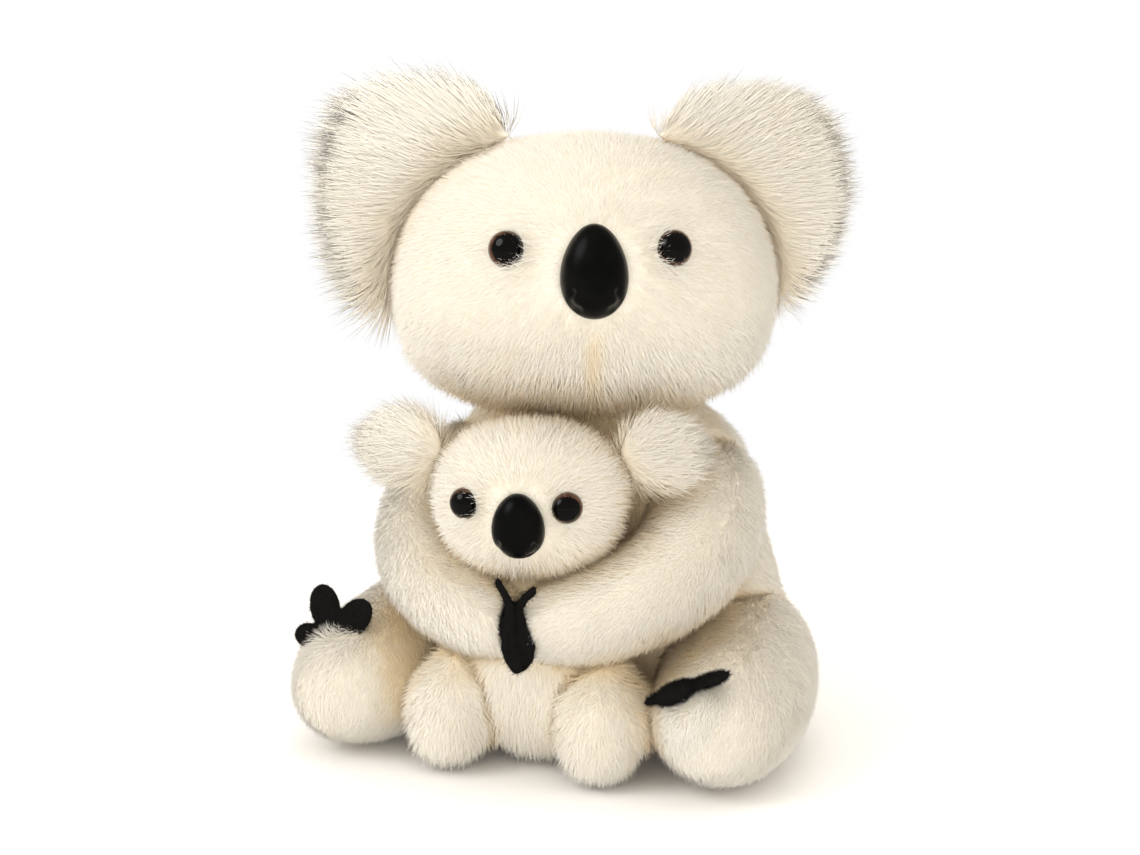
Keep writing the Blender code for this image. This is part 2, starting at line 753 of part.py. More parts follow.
def make_head(prefix, form, dome, hole_radius, place, centre_forward, eye_size, nose_size, aim):
    """Cover, filling, eyes, nose and washers of one head, all carried by the head's joint."""
    eye_spread, eye_turn, eye_rise, nose_rise = aim
    joint = add_joint(f"{prefix}_head_turn", place)
    solid = form(0)
    centre = Vector((0, -centre_forward, 0))
    eye_places = {
        "left": surface_place(solid, centre, eye_turn + eye_spread, eye_rise),
        "right": surface_place(solid, centre, eye_turn - eye_spread, eye_rise),
    }
    nose_place = surface_place(solid, centre, 0, nose_rise)
    fittings = [eye(*eye_size, spot, FIT_GAP) for spot in eye_places.values()]
    fittings.append(nose(*nose_size, nose_place, FIT_GAP))
    rooms = [filling_room(EYE_SINK, spot) for spot in eye_places.values()]
    rooms.append(filling_room(NOSE_SINK, nose_place))
    to_own_frame = Matrix.Translation(-place.translation)

    def neck(inset):
        return [copy_of(dome(SWING_GAP + inset), to_own_frame)]

    hole = cylinder("hole", hole_radius, 0, to_own_frame.translation.z, TURNED_SIDES)
    cover, filling = filled(
        form, closed=[neck], cover_only=[hole, *fittings], filling_only=rooms
    )
    finish(cover, f"{prefix}_head_cover", PLUSH, joint)
    finish(filling, f"{prefix}_head_filling", FIBRE, joint)
    for side, spot in eye_places.items():
        finish(eye(*eye_size, spot), f"{prefix}_eye_{side}", EYE_PLASTIC, joint)
        finish(washer(spot), f"{prefix}_eye_washer_{side}", WASHER_PLASTIC, joint)
    egg = with_nostrils(nose(*nose_size, nose_place), *nose_size, nose_place)
    finish(egg, f"{prefix}_nose", NOSE_PLASTIC, joint)
    finish(washer(nose_place), f"{prefix}_nose_washer", WASHER_PLASTIC, joint)
    return joint


def make_ears(prefix, head_joint, head_form, forward, head_size, ear_size, centre_shares, hinge, swing):
    """Both ears of one head, each on the fold where it is sewn to the head."""
    half_width, half_height, half_thickness, cup, sides = ear_size
    x, y, z = [share * size for share, size in zip(centre_shares, head_size)]
    centre = Vector((x, y - forward, z))
    up = Z_AXIS * half_height
    profile = scaled_profile(EAR_SECTION_SHARES, half_width, half_thickness)
    ear = soft_form("ear", [centre - up, centre + up], profile, sides, cup=cup)
    ear = cut(ear, *swing_copies(head_form(-SWING_GAP), *hinge, -swing, swing))
    pivot = hinge[0]
    right_pivot = Vector((-pivot.x, pivot.y, pivot.z))
    for side, piece, point in (("left", ear, pivot), ("right", mirrored(ear), right_pivot)):
        joint = add_joint(f"{prefix}_ear_fold_{side}", Matrix.Translation(point), head_joint)
        finish(piece, f"{prefix}_ear_{side}", PLUSH, joint, point)


def filling_hole(radius, dome_top, aside, forward):
    """The cutter for the hole in the top of a body's cover that its filling went in by."""
    neck = Matrix.Translation((-aside, -forward, dome_top))
    return cylinder("hole", radius, CUT_OVERRUN, -CUT_OVERRUN, TURNED_SIDES, neck)


def make_body():
    hole = filling_hole(FILLING_HOLE_RADIUS, NECK_DOME_TOP, NECK_ASIDE, NECK_FORWARD)
    cover, filling = filled(adult_body_form, cover_only=[hole, floor_cutter()])
    finish(cover, "body_cover", PLUSH)
    finish(filling, "body_filling", FIBRE)


def make_arms():
    """Both arms with the claws on their paws, each on the slanting fold at its shoulder."""
    pivot, axis = arm_hinge()
    root = swing_copies(adult_body_form(-SWING_GAP), pivot, axis, 0, -ARM_SWING)
    cover, filling = filled(arm_form, opened=root)
    y, z = HAND_CLAWS_SHARES
    centre = Vector((FIT_GAP / 2 + CLAW_THICKNESS / 2, -y * HUG_REACH, z * BODY_HEIGHT))
    middle = Vector((0, -math.cos(HAND_CLAWS_TILT), math.sin(HAND_CLAWS_TILT)))
    felt = claws(claws_place(centre, middle, X_AXIS))
    left = (cover, filling, felt)
    right = [mirrored(piece) for piece in left]
    right_pivot = Vector((-pivot.x, pivot.y, pivot.z))
    for side, point, pieces in (("left", pivot, left), ("right", right_pivot, right)):
        joint = add_joint(f"arm_fold_{side}", Matrix.Translation(point))
        cover, filling, felt = pieces
        finish(cover, f"arm_cover_{side}", PLUSH, joint, point)
        finish(filling, f"arm_filling_{side}", FIBRE, joint, point)
        finish(felt, f"hand_claws_{side}", FELT, joint, point)


def foot_claws_places():
    """The claws' frames on the feet: upright on the right one, pointing forwards on the left."""
    units = (BODY_HALF_WIDTH, LEG_REACH, LEG_RADIUS)
    right, left = scaled_points((RIGHT_FOOT_CLAWS_SHARES, LEFT_FOOT_CLAWS_SHARES), units)
    up = Vector((0, math.cos(RIGHT_FOOT_CLAWS_RISE), math.sin(RIGHT_FOOT_CLAWS_RISE)))
    ahead = Vector((0, -math.cos(LEFT_FOOT_CLAWS_RISE), math.sin(LEFT_FOOT_CLAWS_RISE)))
    normal = Matrix.Rotation(LEFT_FOOT_CLAWS_ROLL, 3, ahead) @ ahead.cross(X_AXIS)
    turn = Matrix.Rotation(RIGHT_FOOT_CLAWS_TURN, 4, "Z")
    return {
        "right": claws_place(right, up, up.cross(X_AXIS)) @ turn,
        "left": claws_place(left, ahead, normal),
    }


def make_legs():
    """Both legs with the claws on their feet, each on the upright fold at its hip."""
    pivot, axis = leg_hinge()
    root = swing_copies(adult_body_form(-SWING_GAP), pivot, axis, 0, -LEG_SWING)
    cover, filling = filled(leg_form, opened=root, cover_only=[floor_cutter()])
    pieces = {"left": (cover, filling), "right": (mirrored(cover), mirrored(filling))}
    right_pivot = Vector((-pivot.x, pivot.y, pivot.z))
    for side, point in (("left", pivot), ("right", right_pivot)):
        joint = add_joint(f"leg_fold_{side}", Matrix.Translation(point))
        place = foot_claws_places()[side]
        slot = claws(place, FIT_GAP)
        cover, filling = pieces[side]
        finish(cut(cover, slot), f"leg_cover_{side}", PLUSH, joint, point)
        finish(cut(filling, slot), f"leg_filling_{side}", FIBRE, joint, point)
        finish(claws(place), f"foot_claws_{side}", FELT, joint, point)


def arm_room(inset):
    """The left arm grown by the gap and by the inset of what it dents."""
    return [whole_arm_form(-SWING_GAP - inset)]


def both_arms_room(inset):
    left, = arm_room(inset)
    return [left, mirrored(left)]


def make_baby_body():
    hole = filling_hole(BABY_FILLING_HOLE_RADIUS, BABY_DOME_TOP, BABY_NECK_ASIDE, BABY_FORWARD)
    back = adult_body_form(-FIT_GAP)
    cover, filling = filled(
        baby_body_form, closed=[both_arms_room], opened=[back], cover_only=[hole, floor_cutter()]
    )
    finish(cover, "baby_body_cover", PLUSH)
    finish(filling, "baby_body_filling", FIBRE)


def make_baby_legs():
    def beside(inset):
        return [leg_form(-FIT_GAP - inset)]

    roots = [baby_body_form(-FIT_GAP), adult_body_form(-FIT_GAP)]
    cover, filling = filled(
        baby_leg_form, closed=[arm_room, beside], opened=roots, cover_only=[floor_cutter()]
    )
    finish(mirrored(cover), "baby_leg_cover_right", PLUSH)
    finish(mirrored(filling), "baby_leg_filling_right", FIBRE)
    finish(cover, "baby_leg_cover_left", PLUSH)
    finish(filling, "baby_leg_filling_left", FIBRE)


def make_adult_head():
    joint = make_head(
        "adult", adult_head_form, adult_dome, FILLING_HOLE_RADIUS, head_place(), HEAD_FORWARD,
        (EYE_RADIUS, EYE_DOME_HEIGHT), (NOSE_HALF_WIDTH, NOSE_HALF_HEIGHT, NOSE_PROTRUSION),
        (EYE_SPREAD, 0, EYE_RISE, NOSE_RISE),
    )
    head_size = (HEAD_HALF_WIDTH, HEAD_HALF_DEPTH, HEAD_HALF_HEIGHT)
    hinge = ear_hinge(EAR_HINGE_SHARES, EAR_HINGE_LEAN, HEAD_FORWARD, *head_size)
    ear_size = (EAR_HALF_WIDTH, EAR_HALF_HEIGHT, EAR_HALF_THICKNESS, EAR_CUP, EAR_SIDES)
    make_ears(
        "adult", joint, adult_head_form, HEAD_FORWARD, head_size, ear_size, EAR_CENTRE_SHARES,
        hinge, EAR_SWING,
    )


def make_baby_head():
    joint = make_head(
        "baby", baby_head_form, baby_dome, BABY_FILLING_HOLE_RADIUS, baby_head_place(), BABY_HEAD_FORWARD,
        (BABY_EYE_RADIUS, BABY_EYE_DOME_HEIGHT),
        (BABY_NOSE_HALF_WIDTH, BABY_NOSE_HALF_HEIGHT, BABY_NOSE_PROTRUSION),
        (BABY_EYE_SPREAD, BABY_EYE_TURN, BABY_EYE_RISE, BABY_NOSE_RISE),
    )
    head_size = (BABY_HEAD_HALF_WIDTH, BABY_HEAD_HALF_DEPTH, BABY_HEAD_HALF_HEIGHT)
    hinge = ear_hinge(BABY_EAR_HINGE_SHARES, BABY_EAR_HINGE_LEAN, BABY_HEAD_FORWARD, *head_size)
    ear_size = (
        BABY_EAR_HALF_WIDTH, BABY_EAR_HALF_HEIGHT, BABY_EAR_HALF_THICKNESS, BABY_EAR_CUP, BABY_EAR_SIDES
    )
    make_ears(
        "baby", joint, baby_head_form, BABY_HEAD_FORWARD, head_size, ear_size, BABY_EAR_CENTRE_SHARES,
        hinge, BABY_EAR_SWING,
    )


def remove_workshop():
    for obj in list(WORKSHOP.objects):
        bpy.data.objects.remove(obj)
    bpy.data.collections.remove(WORKSHOP)


clear_scene()
PARTS = make_collection("plush_koala_with_baby")
WORKSHOP = make_collection("workshop")
PLUSH = make_material("plush_cream", (0.93, 0.87, 0.74), 0.95)
FIBRE = make_material("fibre_fill", (0.90, 0.90, 0.88), 1.0)
FELT = make_material("black_felt", (0.015, 0.014, 0.016), 0.95)
NOSE_PLASTIC = make_material("nose_plastic", (0.012, 0.012, 0.013), 0.35)
EYE_PLASTIC = make_material("eye_plastic", (0.010, 0.007, 0.006), 0.05)
WASHER_PLASTIC = make_material("washer_plastic", (0.80, 0.80, 0.78), 0.4)
make_body()
make_arms()
make_legs()
make_adult_head()
make_baby_body()
make_baby_legs()
make_baby_head()
remove_workshop()
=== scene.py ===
"""Dresses the sitting plush koala and its baby, in metres.

Stuffed pieces get a sewn skin with real pile. The rest gets moulded eyes and noses, and felt claws.
"""

import math

import bpy
from mathutils import Matrix, Vector
from mathutils.bvhtree import BVHTree


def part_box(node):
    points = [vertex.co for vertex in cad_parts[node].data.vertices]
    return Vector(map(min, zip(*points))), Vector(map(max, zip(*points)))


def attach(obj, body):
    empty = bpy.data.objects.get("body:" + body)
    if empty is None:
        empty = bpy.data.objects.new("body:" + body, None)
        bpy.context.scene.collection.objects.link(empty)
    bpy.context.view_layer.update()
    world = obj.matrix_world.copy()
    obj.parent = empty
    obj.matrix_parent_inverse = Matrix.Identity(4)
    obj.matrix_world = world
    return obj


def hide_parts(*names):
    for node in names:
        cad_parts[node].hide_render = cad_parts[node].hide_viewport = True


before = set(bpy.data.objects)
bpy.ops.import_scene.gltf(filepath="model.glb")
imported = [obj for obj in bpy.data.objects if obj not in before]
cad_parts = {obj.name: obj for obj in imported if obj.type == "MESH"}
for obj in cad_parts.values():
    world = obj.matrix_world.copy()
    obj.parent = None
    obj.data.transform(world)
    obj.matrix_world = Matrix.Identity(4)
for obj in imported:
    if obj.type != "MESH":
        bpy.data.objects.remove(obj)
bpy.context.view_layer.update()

DOWN = Vector((0, 0, -1))
UP = Vector((0, 0, 1))
FRONT = Vector((0, -1, 0))

# Camera, as the photograph has it
LOOKS_AT = Vector((-0.013, 0, 0.1094))
CAMERA_AZIMUTH = math.radians(20)
CAMERA_RISE = math.radians(12)
CAMERA_DISTANCE = 1.0
CAMERA_LENS = 83.1

# Cloth
MERGE_WITHIN = 0.00001
SKIN_VOXEL = 0.003
FELT_VOXEL = 0.0005
UNWRAP_ANGLE = 1.15
UNWRAP_MARGIN = 0.01
FLOOR_CLEARANCE = 0.0006

# How far a skin is drawn in, so that its pile comes out to the piece's own outline
ADULT_SUNK = 0.0021
BODY_SUNK = 0.0029
LEG_SUNK = 0.0013
BABY_SUNK = 0.0027
EAR_SUNK = 0.0050
BABY_EAR_SUNK = 0.0040
NEIGHBOUR_GAPS = (0.001, 0.006)
SUNK_AT_FITTING = 0.35
SUNK_OFF_RIM = 0.3

# Creases get painted shade, a warm tan where the shade falls in them
# What counts as a crease: how far it is looked for, and the shares of the view that are shut off
CREASE_REACH = 0.045
CREASE_SHARES = (0.12, 0.75)
CREASE_START = 0.002
FACED_LEAST = 0.15

# Pile
PILE = 0.0049
ARM_PILE = 0.0055
BABY_PILE = 0.0062
BABY_EAR_PILE = 0.0110
JAW_PILE_MORE = 0.0035
FELT_NAP = 0.0017
PILE_WILD = 0.3
FELT_WILD = 0.6
FELT_TUFT = 0.8
FELT_SPACING = 0.00045
LEAST_COMB = 0.3
LENGTH_SHARES = (0.66, 1.12)
TUFT_SCALE = 95.0
LIE_LOOSE = 0.15
BEND_LOOSE = 0.5

# Strands planted in a square of one spacing a side, at most, and where they are crowded
PLANTED = 1.1
CROWDED = 4.0
CROWDED_SEED = 7


# Tools that stand for the hand


def deselect():
    bpy.ops.object.select_all(action="DESELECT")


def only(obj):
    deselect()
    obj.select_set(True)
    bpy.context.view_layer.objects.active = obj


def modify(obj, kind, **settings):
    """Adds a modifier, which apply_all applies."""
    modifier = obj.modifiers.new(kind.lower(), kind)
    for name, value in settings.items():
        setattr(modifier, name, value)


def apply_all(obj):
    only(obj)
    for modifier in list(obj.modifiers):
        bpy.ops.object.modifier_apply(modifier=modifier.name)


def edit(obj):
    only(obj)
    bpy.ops.object.mode_set(mode="EDIT")
    bpy.ops.mesh.select_all(action="SELECT")


def leave_edit():
    bpy.ops.object.mode_set(mode="OBJECT")


def settle(obj):
    """Puts the object's place, turn and scale into its mesh."""
    only(obj)
    bpy.ops.object.transform_apply(location=True, rotation=True, scale=True)


def join(parts):
    """Makes these objects one, the first."""
    deselect()
    for part in parts:
        part.select_set(True)
    bpy.context.view_layer.objects.active = parts[0]
    if len(parts) > 1:
        bpy.ops.object.join()
    return parts[0]


def unwrap(obj):
    edit(obj)
    bpy.ops.uv.smart_project(angle_limit=UNWRAP_ANGLE, island_margin=UNWRAP_MARGIN)
    leave_edit()
    obj.data.uv_layers[0].name = "OFBake"


def carry(mesh, **attributes):
    """Writes attributes on the mesh's points: one number to a point, or three for a vector."""
    for name, numbers in attributes.items():
        one_each = len(numbers) == len(mesh.vertices)
        kind, field = ("FLOAT", "value") if one_each else ("FLOAT_VECTOR", "vector")
        mesh.attributes.new(name, kind, "POINT").data.foreach_set(field, numbers)


def copied(name, *node_names):
    """A new piece whose mesh is the merged copies of these CAD nodes."""
    parts = []
    for node_name in node_names:
        parts.append(bpy.data.objects.new(name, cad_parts[node_name].data.copy()))
        bpy.context.scene.collection.objects.link(parts[-1])
    made = join(parts)
    made.data.materials.clear()
    edit(made)
    bpy.ops.mesh.remove_doubles(threshold=MERGE_WITHIN)
    leave_edit()
    return made


# Node trees


class Field:
    """A socket that Python's operators work on, each by a node of its own."""

    def __init__(self, tree, socket):
        self.tree, self.socket = tree, socket

    def maths(self, operation, *values):
        settings = {"operation": operation}
        return node(self.tree, "ShaderNodeMath", settings, dict(enumerate(values)))[0]

    def __add__(self, other):
        return self.maths("ADD", self, other)

    def __radd__(self, other):
        return self.maths("ADD", other, self)

    def __sub__(self, other):
        return self.maths("SUBTRACT", self, other)

    def __rsub__(self, other):
        return self.maths("SUBTRACT", other, self)

    def __mul__(self, other):
        return self.maths("MULTIPLY", self, other)

    def __rmul__(self, other):
        return self.maths("MULTIPLY", other, self)

    def at_least(self, low):
        return self.maths("MAXIMUM", self, low)

    def between(self, low, high):
        """0 at low, 1 at high, straight in between."""
        values = {"Value": self, "From Min": low, "From Max": high}
        return node(self.tree, "ShaderNodeMapRange", {"clamp": True}, values)[0]


def set_value(tree, socket, value):
    if isinstance(value, Field):
        tree.links.new(value.socket, socket)
    elif isinstance(value, (tuple, Vector)) and socket.type == "RGBA" and len(value) == 3:
        socket.default_value = (*value, 1)
    else:
        socket.default_value = value


def node(tree, kind, settings=None, values=None):
    """Adds a node and returns the fields of its enabled outputs, by place.

    The values go to its enabled inputs, by place or by name.
    """
    made = tree.nodes.new(kind)
    for name, value in (settings or {}).items():
        setattr(made, name, value)
    sockets = [socket for socket in made.inputs if socket.enabled]
    for name, value in (values or {}).items():
        if isinstance(name, int):
            socket = sockets[name]
        else:
            socket = next(socket for socket in sockets if socket.name == name)
        set_value(tree, socket, value)
    return [Field(tree, socket) for socket in made.outputs if socket.enabled]


def mixed(tree, factor, first, second):
    settings = {"data_type": "RGBA", "clamp_factor": True}
    return node(tree, "ShaderNodeMix", settings, {"Factor": factor, "A": first, "B": second})[0]


def chosen(tree, factor, first, second):
    """The first shader where the factor is 0, the second where it is 1."""
    return node(tree, "ShaderNodeMixShader", None, {0: factor, 1: first, 2: second})[0]


def noise(tree, scale, detail, roughness=0.5):
    place = node(tree, "ShaderNodeTexCoord")[3]
    values = {"Vector": place, "Scale": scale, "Detail": detail, "Roughness": roughness}
    return node(tree, "ShaderNodeTexNoise", None, values)[0]


def grained(tree, strength, grain):
    values = {"Strength": strength, "Distance": GRAIN_DEPTH, "Height": grain}
    return node(tree, "ShaderNodeBump", None, values)[0]


def carried(tree, name):
    """A number that the piece's mesh carries."""
    return node(tree, "ShaderNodeAttribute", {"attribute_name": name})[2]


def new_material(name):
    material = bpy.data.materials.new(name)
    material.use_nodes = True
    tree = material.node_tree
    tree.nodes.clear()
    return material, tree


def surface(tree, values):
    """A Principled shader on the material's output."""
    shader = node(tree, "ShaderNodeBsdfPrincipled", None, values)[0]
    node(tree, "ShaderNodeOutputMaterial", None, {"Surface": shader})


# Materials

GRAIN_DEPTH = 0.0002

CREAM_LIGHT = (0.97, 0.945, 0.885)
# Painted shade for the depth of the pile, and also the darker side of its random mottle
CREAM_MOTTLE_AND_SHADE = (0.935, 0.86, 0.70)
# Painted shade: the warm tan that creases take where the shade falls in them
CREAM_CREASE_SHADE = (0.89, 0.70, 0.41)
EAR_TINT = (0.80, 0.73, 0.66)
CREAM_SHEEN = (1.0, 0.95, 0.86)
FELT_DEEP = (0.003, 0.003, 0.003)
FELT_LIGHT = (0.014, 0.013, 0.012)
NOSE_BLACK = (0.002, 0.002, 0.002)
NOSE_WORN = (0.004, 0.004, 0.004)
PUPIL = (0.002, 0.002, 0.002)
IRIS_DARK = (0.035, 0.014, 0.006)
IRIS_LIGHT = (0.11, 0.05, 0.025)
EYE_RIM = (0.01, 0.008, 0.007)
WASHER_WHITE = (0.75, 0.74, 0.72)


def plush_cream():
    """Acrylic pile, whose mesh carries tip, shade, crease and tint.

    A strand is light at its tip and deeper at its root, as painted shade for the depth of the pile.
    The cloth under it is deeper still. Creases take a warm painted shade.
    """
    material, tree = new_material("plush_cream")
    tip = carried(tree, "tip")
    shade = carried(tree, "shade")
    tint = carried(tree, "tint")
    crease = carried(tree, "crease")
    cloud = noise(tree, 38.0, 3.0, roughness=0.6)
    # Painted shade: deeper towards a strand's root, down in the pile
    colour = mixed(tree, tip.between(0.0, 0.7), CREAM_MOTTLE_AND_SHADE, CREAM_LIGHT)
    colour = mixed(tree, cloud.between(0.45, 0.75) * 0.3, colour, CREAM_MOTTLE_AND_SHADE)
    colour = mixed(tree, (1 - shade) * 0.25, colour, CREAM_MOTTLE_AND_SHADE)
    # Painted shade in creases, where neighbours shut the cloth in, and along the mouth seam
    colour = mixed(tree, crease * 0.8, colour, CREAM_CREASE_SHADE)
    colour = mixed(tree, tint * tip.between(0.55, 1.0), colour, EAR_TINT)
    values = {
        "Base Color": colour,
        "Roughness": 0.8,
        "Specular IOR Level": 0.12,
        "Sheen Weight": 0.15,
        "Sheen Roughness": 0.5,
        "Sheen Tint": CREAM_SHEEN,
    }
    surface(tree, values)
    return material


def black_felt():
    """Felt, each hair of whose nap carries a shade."""
    material, tree = new_material("black_felt")
    colour = mixed(tree, carried(tree, "shade"), FELT_DEEP, FELT_LIGHT)
    surface(tree, {"Base Color": colour, "Roughness": 0.9, "Specular IOR Level": 0.05})
    return material


def nose_plastic():
    """Black plastic with a fine moulded grain, a little worn."""
    material, tree = new_material("nose_plastic")
    grain = noise(tree, 900.0, 4.0)
    wear = noise(tree, 90.0, 3.0)
    values = {
        "Base Color": mixed(tree, wear.between(0.4, 0.7), NOSE_BLACK, NOSE_WORN),
        "Roughness": 0.24 + 0.12 * wear,
        "Specular IOR Level": 0.13,
        "Normal": grained(tree, 0.12, grain),
    }
    surface(tree, values)
    return material


def eye_plastic():
    """A clear dome over a brown iris, whose mesh carries the distance from the pupil's middle."""
    material, tree = new_material("eye_plastic")
    iris = carried(tree, "iris")
    flecks = noise(tree, 700.0, 3.0)
    brown = mixed(tree, flecks.between(0.35, 0.7), IRIS_DARK, IRIS_LIGHT)
    colour = mixed(tree, iris.between(0.76, 0.83), PUPIL, brown)
    colour = mixed(tree, iris.between(1.10, 1.18), colour, EYE_RIM)
    values = {
        "Base Color": colour,
        "Roughness": 0.12 + 0.05 * flecks,
        "Specular IOR Level": 0.1,
        "Coat Weight": 0.8,
        "Coat IOR": 1.35,
        "Coat Roughness": 0.03,
    }
    surface(tree, values)
    return material


def washer_plastic():
    material, tree = new_material("washer_plastic")
    grain = noise(tree, 500.0, 2.0)
    bump = grained(tree, 0.1, grain)
    surface(tree, {"Base Color": WASHER_WHITE, "Roughness": 0.4 + 0.1 * grain, "Normal": bump})
    return material


CREAM = plush_cream()
FELT = black_felt()
NOSE = nose_plastic()
EYE = eye_plastic()
WASHER = washer_plastic()


# Strands


def put_away(fibre, name, material):
    """Gives a fibre the heights along itself and its material, and keeps it out of the picture."""
    fibre.name = name
    carry(fibre.data, tip=[max(0.0, min(1.0, point.co.z)) for point in fibre.data.vertices])
    fibre.data.materials.append(material)
    fibre.hide_render = True
    return fibre


def cone(width, start):
    """A three-sided cone on +Z whose tip is at 1."""
    deselect()
    depth, middle_height = 1 - start, (1 + start) / 2
    bpy.ops.mesh.primitive_cone_add(
        vertices=3, radius1=width / 2, radius2=0, depth=depth, location=(0, 0, middle_height)
    )
    made = bpy.context.object
    settle(made)
    return made


def make_fibre(name, width, droop, material):
    """A short tapered fibre of unit length on +Z whose tip leans to +X."""
    fibre = cone(width, 0)
    for point in fibre.data.vertices:
        point.co.x += droop * max(0.0, point.co.z)
    return put_away(fibre, name, material)


def make_strand(name, width, ring_at, bend, droop, material):
    """A long fibre of unit length on +Z, with a pointed root, bent to +X at its ring and tip."""
    strand = cone(width, ring_at)
    edit(strand)
    bpy.ops.mesh.select_all(action="DESELECT")
    leave_edit()
    min(strand.data.polygons, key=lambda face: face.center.z).select = True
    bpy.ops.object.mode_set(mode="EDIT")
    bpy.ops.mesh.poke()
    leave_edit()
    for point in strand.data.vertices:
        if point.co.z > 0.9:
            point.co.x += droop
        elif point.co.xy.length < width / 8:
            point.co.z = 0
        else:
            point.co.x += bend
    return put_away(strand, name, material)


STRAND = make_fibre("pile_fibre", 0.066, 0.22, CREAM)
LONG_STRAND = make_strand("ear_fibre", 0.019, 0.45, 0.04, 0.22, CREAM)
FELT_STRAND = make_fibre("felt_fibre", 0.12, 0.3, FELT)


# The pile that they make


def pile_tree(strand, spacing, wild, tuft, seed, own_share):
    """A tree that plants strands on a skin.

    The skin's points carry pile, which is the strands' length; stand, the way that they come out;
    comb, the way that they lie; and dense, how much more of them there is. Each strand takes its
    shading normal, lie, from the skin, with a share of its own.
    """
    tree = bpy.data.node_groups.new("pile", "GeometryNodeTree")
    tree.interface.new_socket("Geometry", in_out="INPUT", socket_type="NodeSocketGeometry")
    tree.interface.new_socket("Geometry", in_out="OUTPUT", socket_type="NodeSocketGeometry")
    tree.is_modifier = True

    def attribute(name, kind="FLOAT"):
        settings = {"data_type": kind}
        return node(tree, "GeometryNodeInputNamedAttribute", settings, {"Name": name})[0]

    def store(geometry, name, value, kind="FLOAT"):
        settings = {"data_type": kind, "domain": "POINT"}
        values = {"Geometry": geometry, "Name": name, "Value": value}
        return node(tree, "GeometryNodeStoreNamedAttribute", settings, values)[0]

    def vector(operation, *values):
        settings = {"operation": operation}
        return node(tree, "ShaderNodeVectorMath", settings, dict(enumerate(values)))[0]

    def scaled(value, factor):
        values = {"Vector": value, "Scale": factor}
        return node(tree, "ShaderNodeVectorMath", {"operation": "SCALE"}, values)[0]

    def random(low, high, kind, offset):
        values = {"Min": low, "Max": high, "Seed": seed + offset}
        return node(tree, "FunctionNodeRandomValue", {"data_type": kind}, values)[0]

    def joined(first, second):
        both = node(tree, "GeometryNodeJoinGeometry", None, {"Geometry": first})[0]
        tree.links.new(second.socket, both.socket.node.inputs[0])
        return both

    def planted(skin, most, factor, offset):
        values = {
            "Mesh": skin,
            "Distance Min": spacing,
            "Density Max": most / spacing**2,
            "Density Factor": factor,
            "Seed": seed + offset,
        }
        settings = {"distribute_method": "POISSON"}
        return node(tree, "GeometryNodeDistributePointsOnFaces", settings, values)[0]

    skin = node(tree, "NodeGroupInput")[0]
    skin = store(skin, "lie", node(tree, "GeometryNodeInputNormal")[0], "FLOAT_VECTOR")
    crowd = planted(skin, CROWDED, attribute("dense"), CROWDED_SEED)
    points = joined(planted(skin, PLANTED, 1.0, 0), crowd)

    up, comb = attribute("stand", "FLOAT_VECTOR"), attribute("comb", "FLOAT_VECTOR")
    place = node(tree, "GeometryNodeInputPosition")[0]
    values = {"Vector": place, "Scale": TUFT_SCALE, "Detail": 2.0}
    tufts = node(tree, "ShaderNodeTexNoise", {"noise_dimensions": "3D"}, values)[1]
    tufts = vector("SUBTRACT", tufts, (0.5, 0.5, 0.5))
    loose = random((-1.0, -1.0, -1.0), (1.0, 1.0, 1.0), "FLOAT_VECTOR", 1)
    way = vector("ADD", up, comb)
    way = vector("ADD", way, scaled(tufts, tuft))
    way = vector("ADD", way, scaled(loose, wild))
    values = {"Vector": vector("NORMALIZE", way)}
    turn = node(tree, "FunctionNodeAlignRotationToVector", {"axis": "Z"}, values)[0]
    values = {"Rotation": turn, "Vector": vector("ADD", comb, scaled(loose, BEND_LOOSE))}
    settings = {"axis": "X", "pivot_axis": "Z"}
    turn = node(tree, "FunctionNodeAlignRotationToVector", settings, values)[0]
    length = attribute("pile") * random(*LENGTH_SHARES, "FLOAT", 2)
    size = node(tree, "ShaderNodeCombineXYZ", None, {"X": length, "Y": length, "Z": length})[0]

    lie = vector("NORMALIZE", vector("ADD", up, scaled(loose, LIE_LOOSE)))
    points = store(points, "lie", lie, "FLOAT_VECTOR")
    points = store(points, "shade", random(0.0, 1.0, "FLOAT", 4))
    settings = {"transform_space": "ORIGINAL"}
    fibre = node(tree, "GeometryNodeObjectInfo", settings, {"Object": strand})[-1]
    values = {"Points": points, "Instance": fibre, "Rotation": turn, "Scale": size}
    pile = node(tree, "GeometryNodeInstanceOnPoints", None, values)[0]
    pile = node(tree, "GeometryNodeRealizeInstances", None, {"Geometry": pile})[0]
    own = scaled(node(tree, "GeometryNodeInputNormal")[0], own_share)
    lie = vector("NORMALIZE", vector("ADD", attribute("lie", "FLOAT_VECTOR"), own))
    pile = store(pile, "lie", lie, "FLOAT_VECTOR")

    both = joined(pile, skin)
    place = node(tree, "GeometryNodeInputPosition")[0]
    x, y, z = node(tree, "ShaderNodeSeparateXYZ", None, {"Vector": place})
    values = {"X": x, "Y": y, "Z": z.at_least(FLOOR_CLEARANCE)}
    place = node(tree, "ShaderNodeCombineXYZ", None, values)[0]
    both = node(tree, "GeometryNodeSetPosition", None, {"Geometry": both, "Position": place})[0]
    values = {"Geometry": both, "Shade Smooth": True}
    both = node(tree, "GeometryNodeSetShadeSmooth", None, values)[0]
    values = {"Mesh": both, "Custom Normal": attribute("lie", "FLOAT_VECTOR")}
    settings = {"mode": "FREE", "domain": "POINT"}
    both = node(tree, "GeometryNodeSetMeshNormal", settings, values)[0]
    node(tree, "NodeGroupOutput", None, {"Geometry": both})
    return tree


def grow(skin, strand, spacing, wild, tuft, seed, own_share=0.9):
    tree = pile_tree(strand, spacing, wild, tuft, seed, own_share)
    modify(skin, "NODES", node_group=tree)
    apply_all(skin)


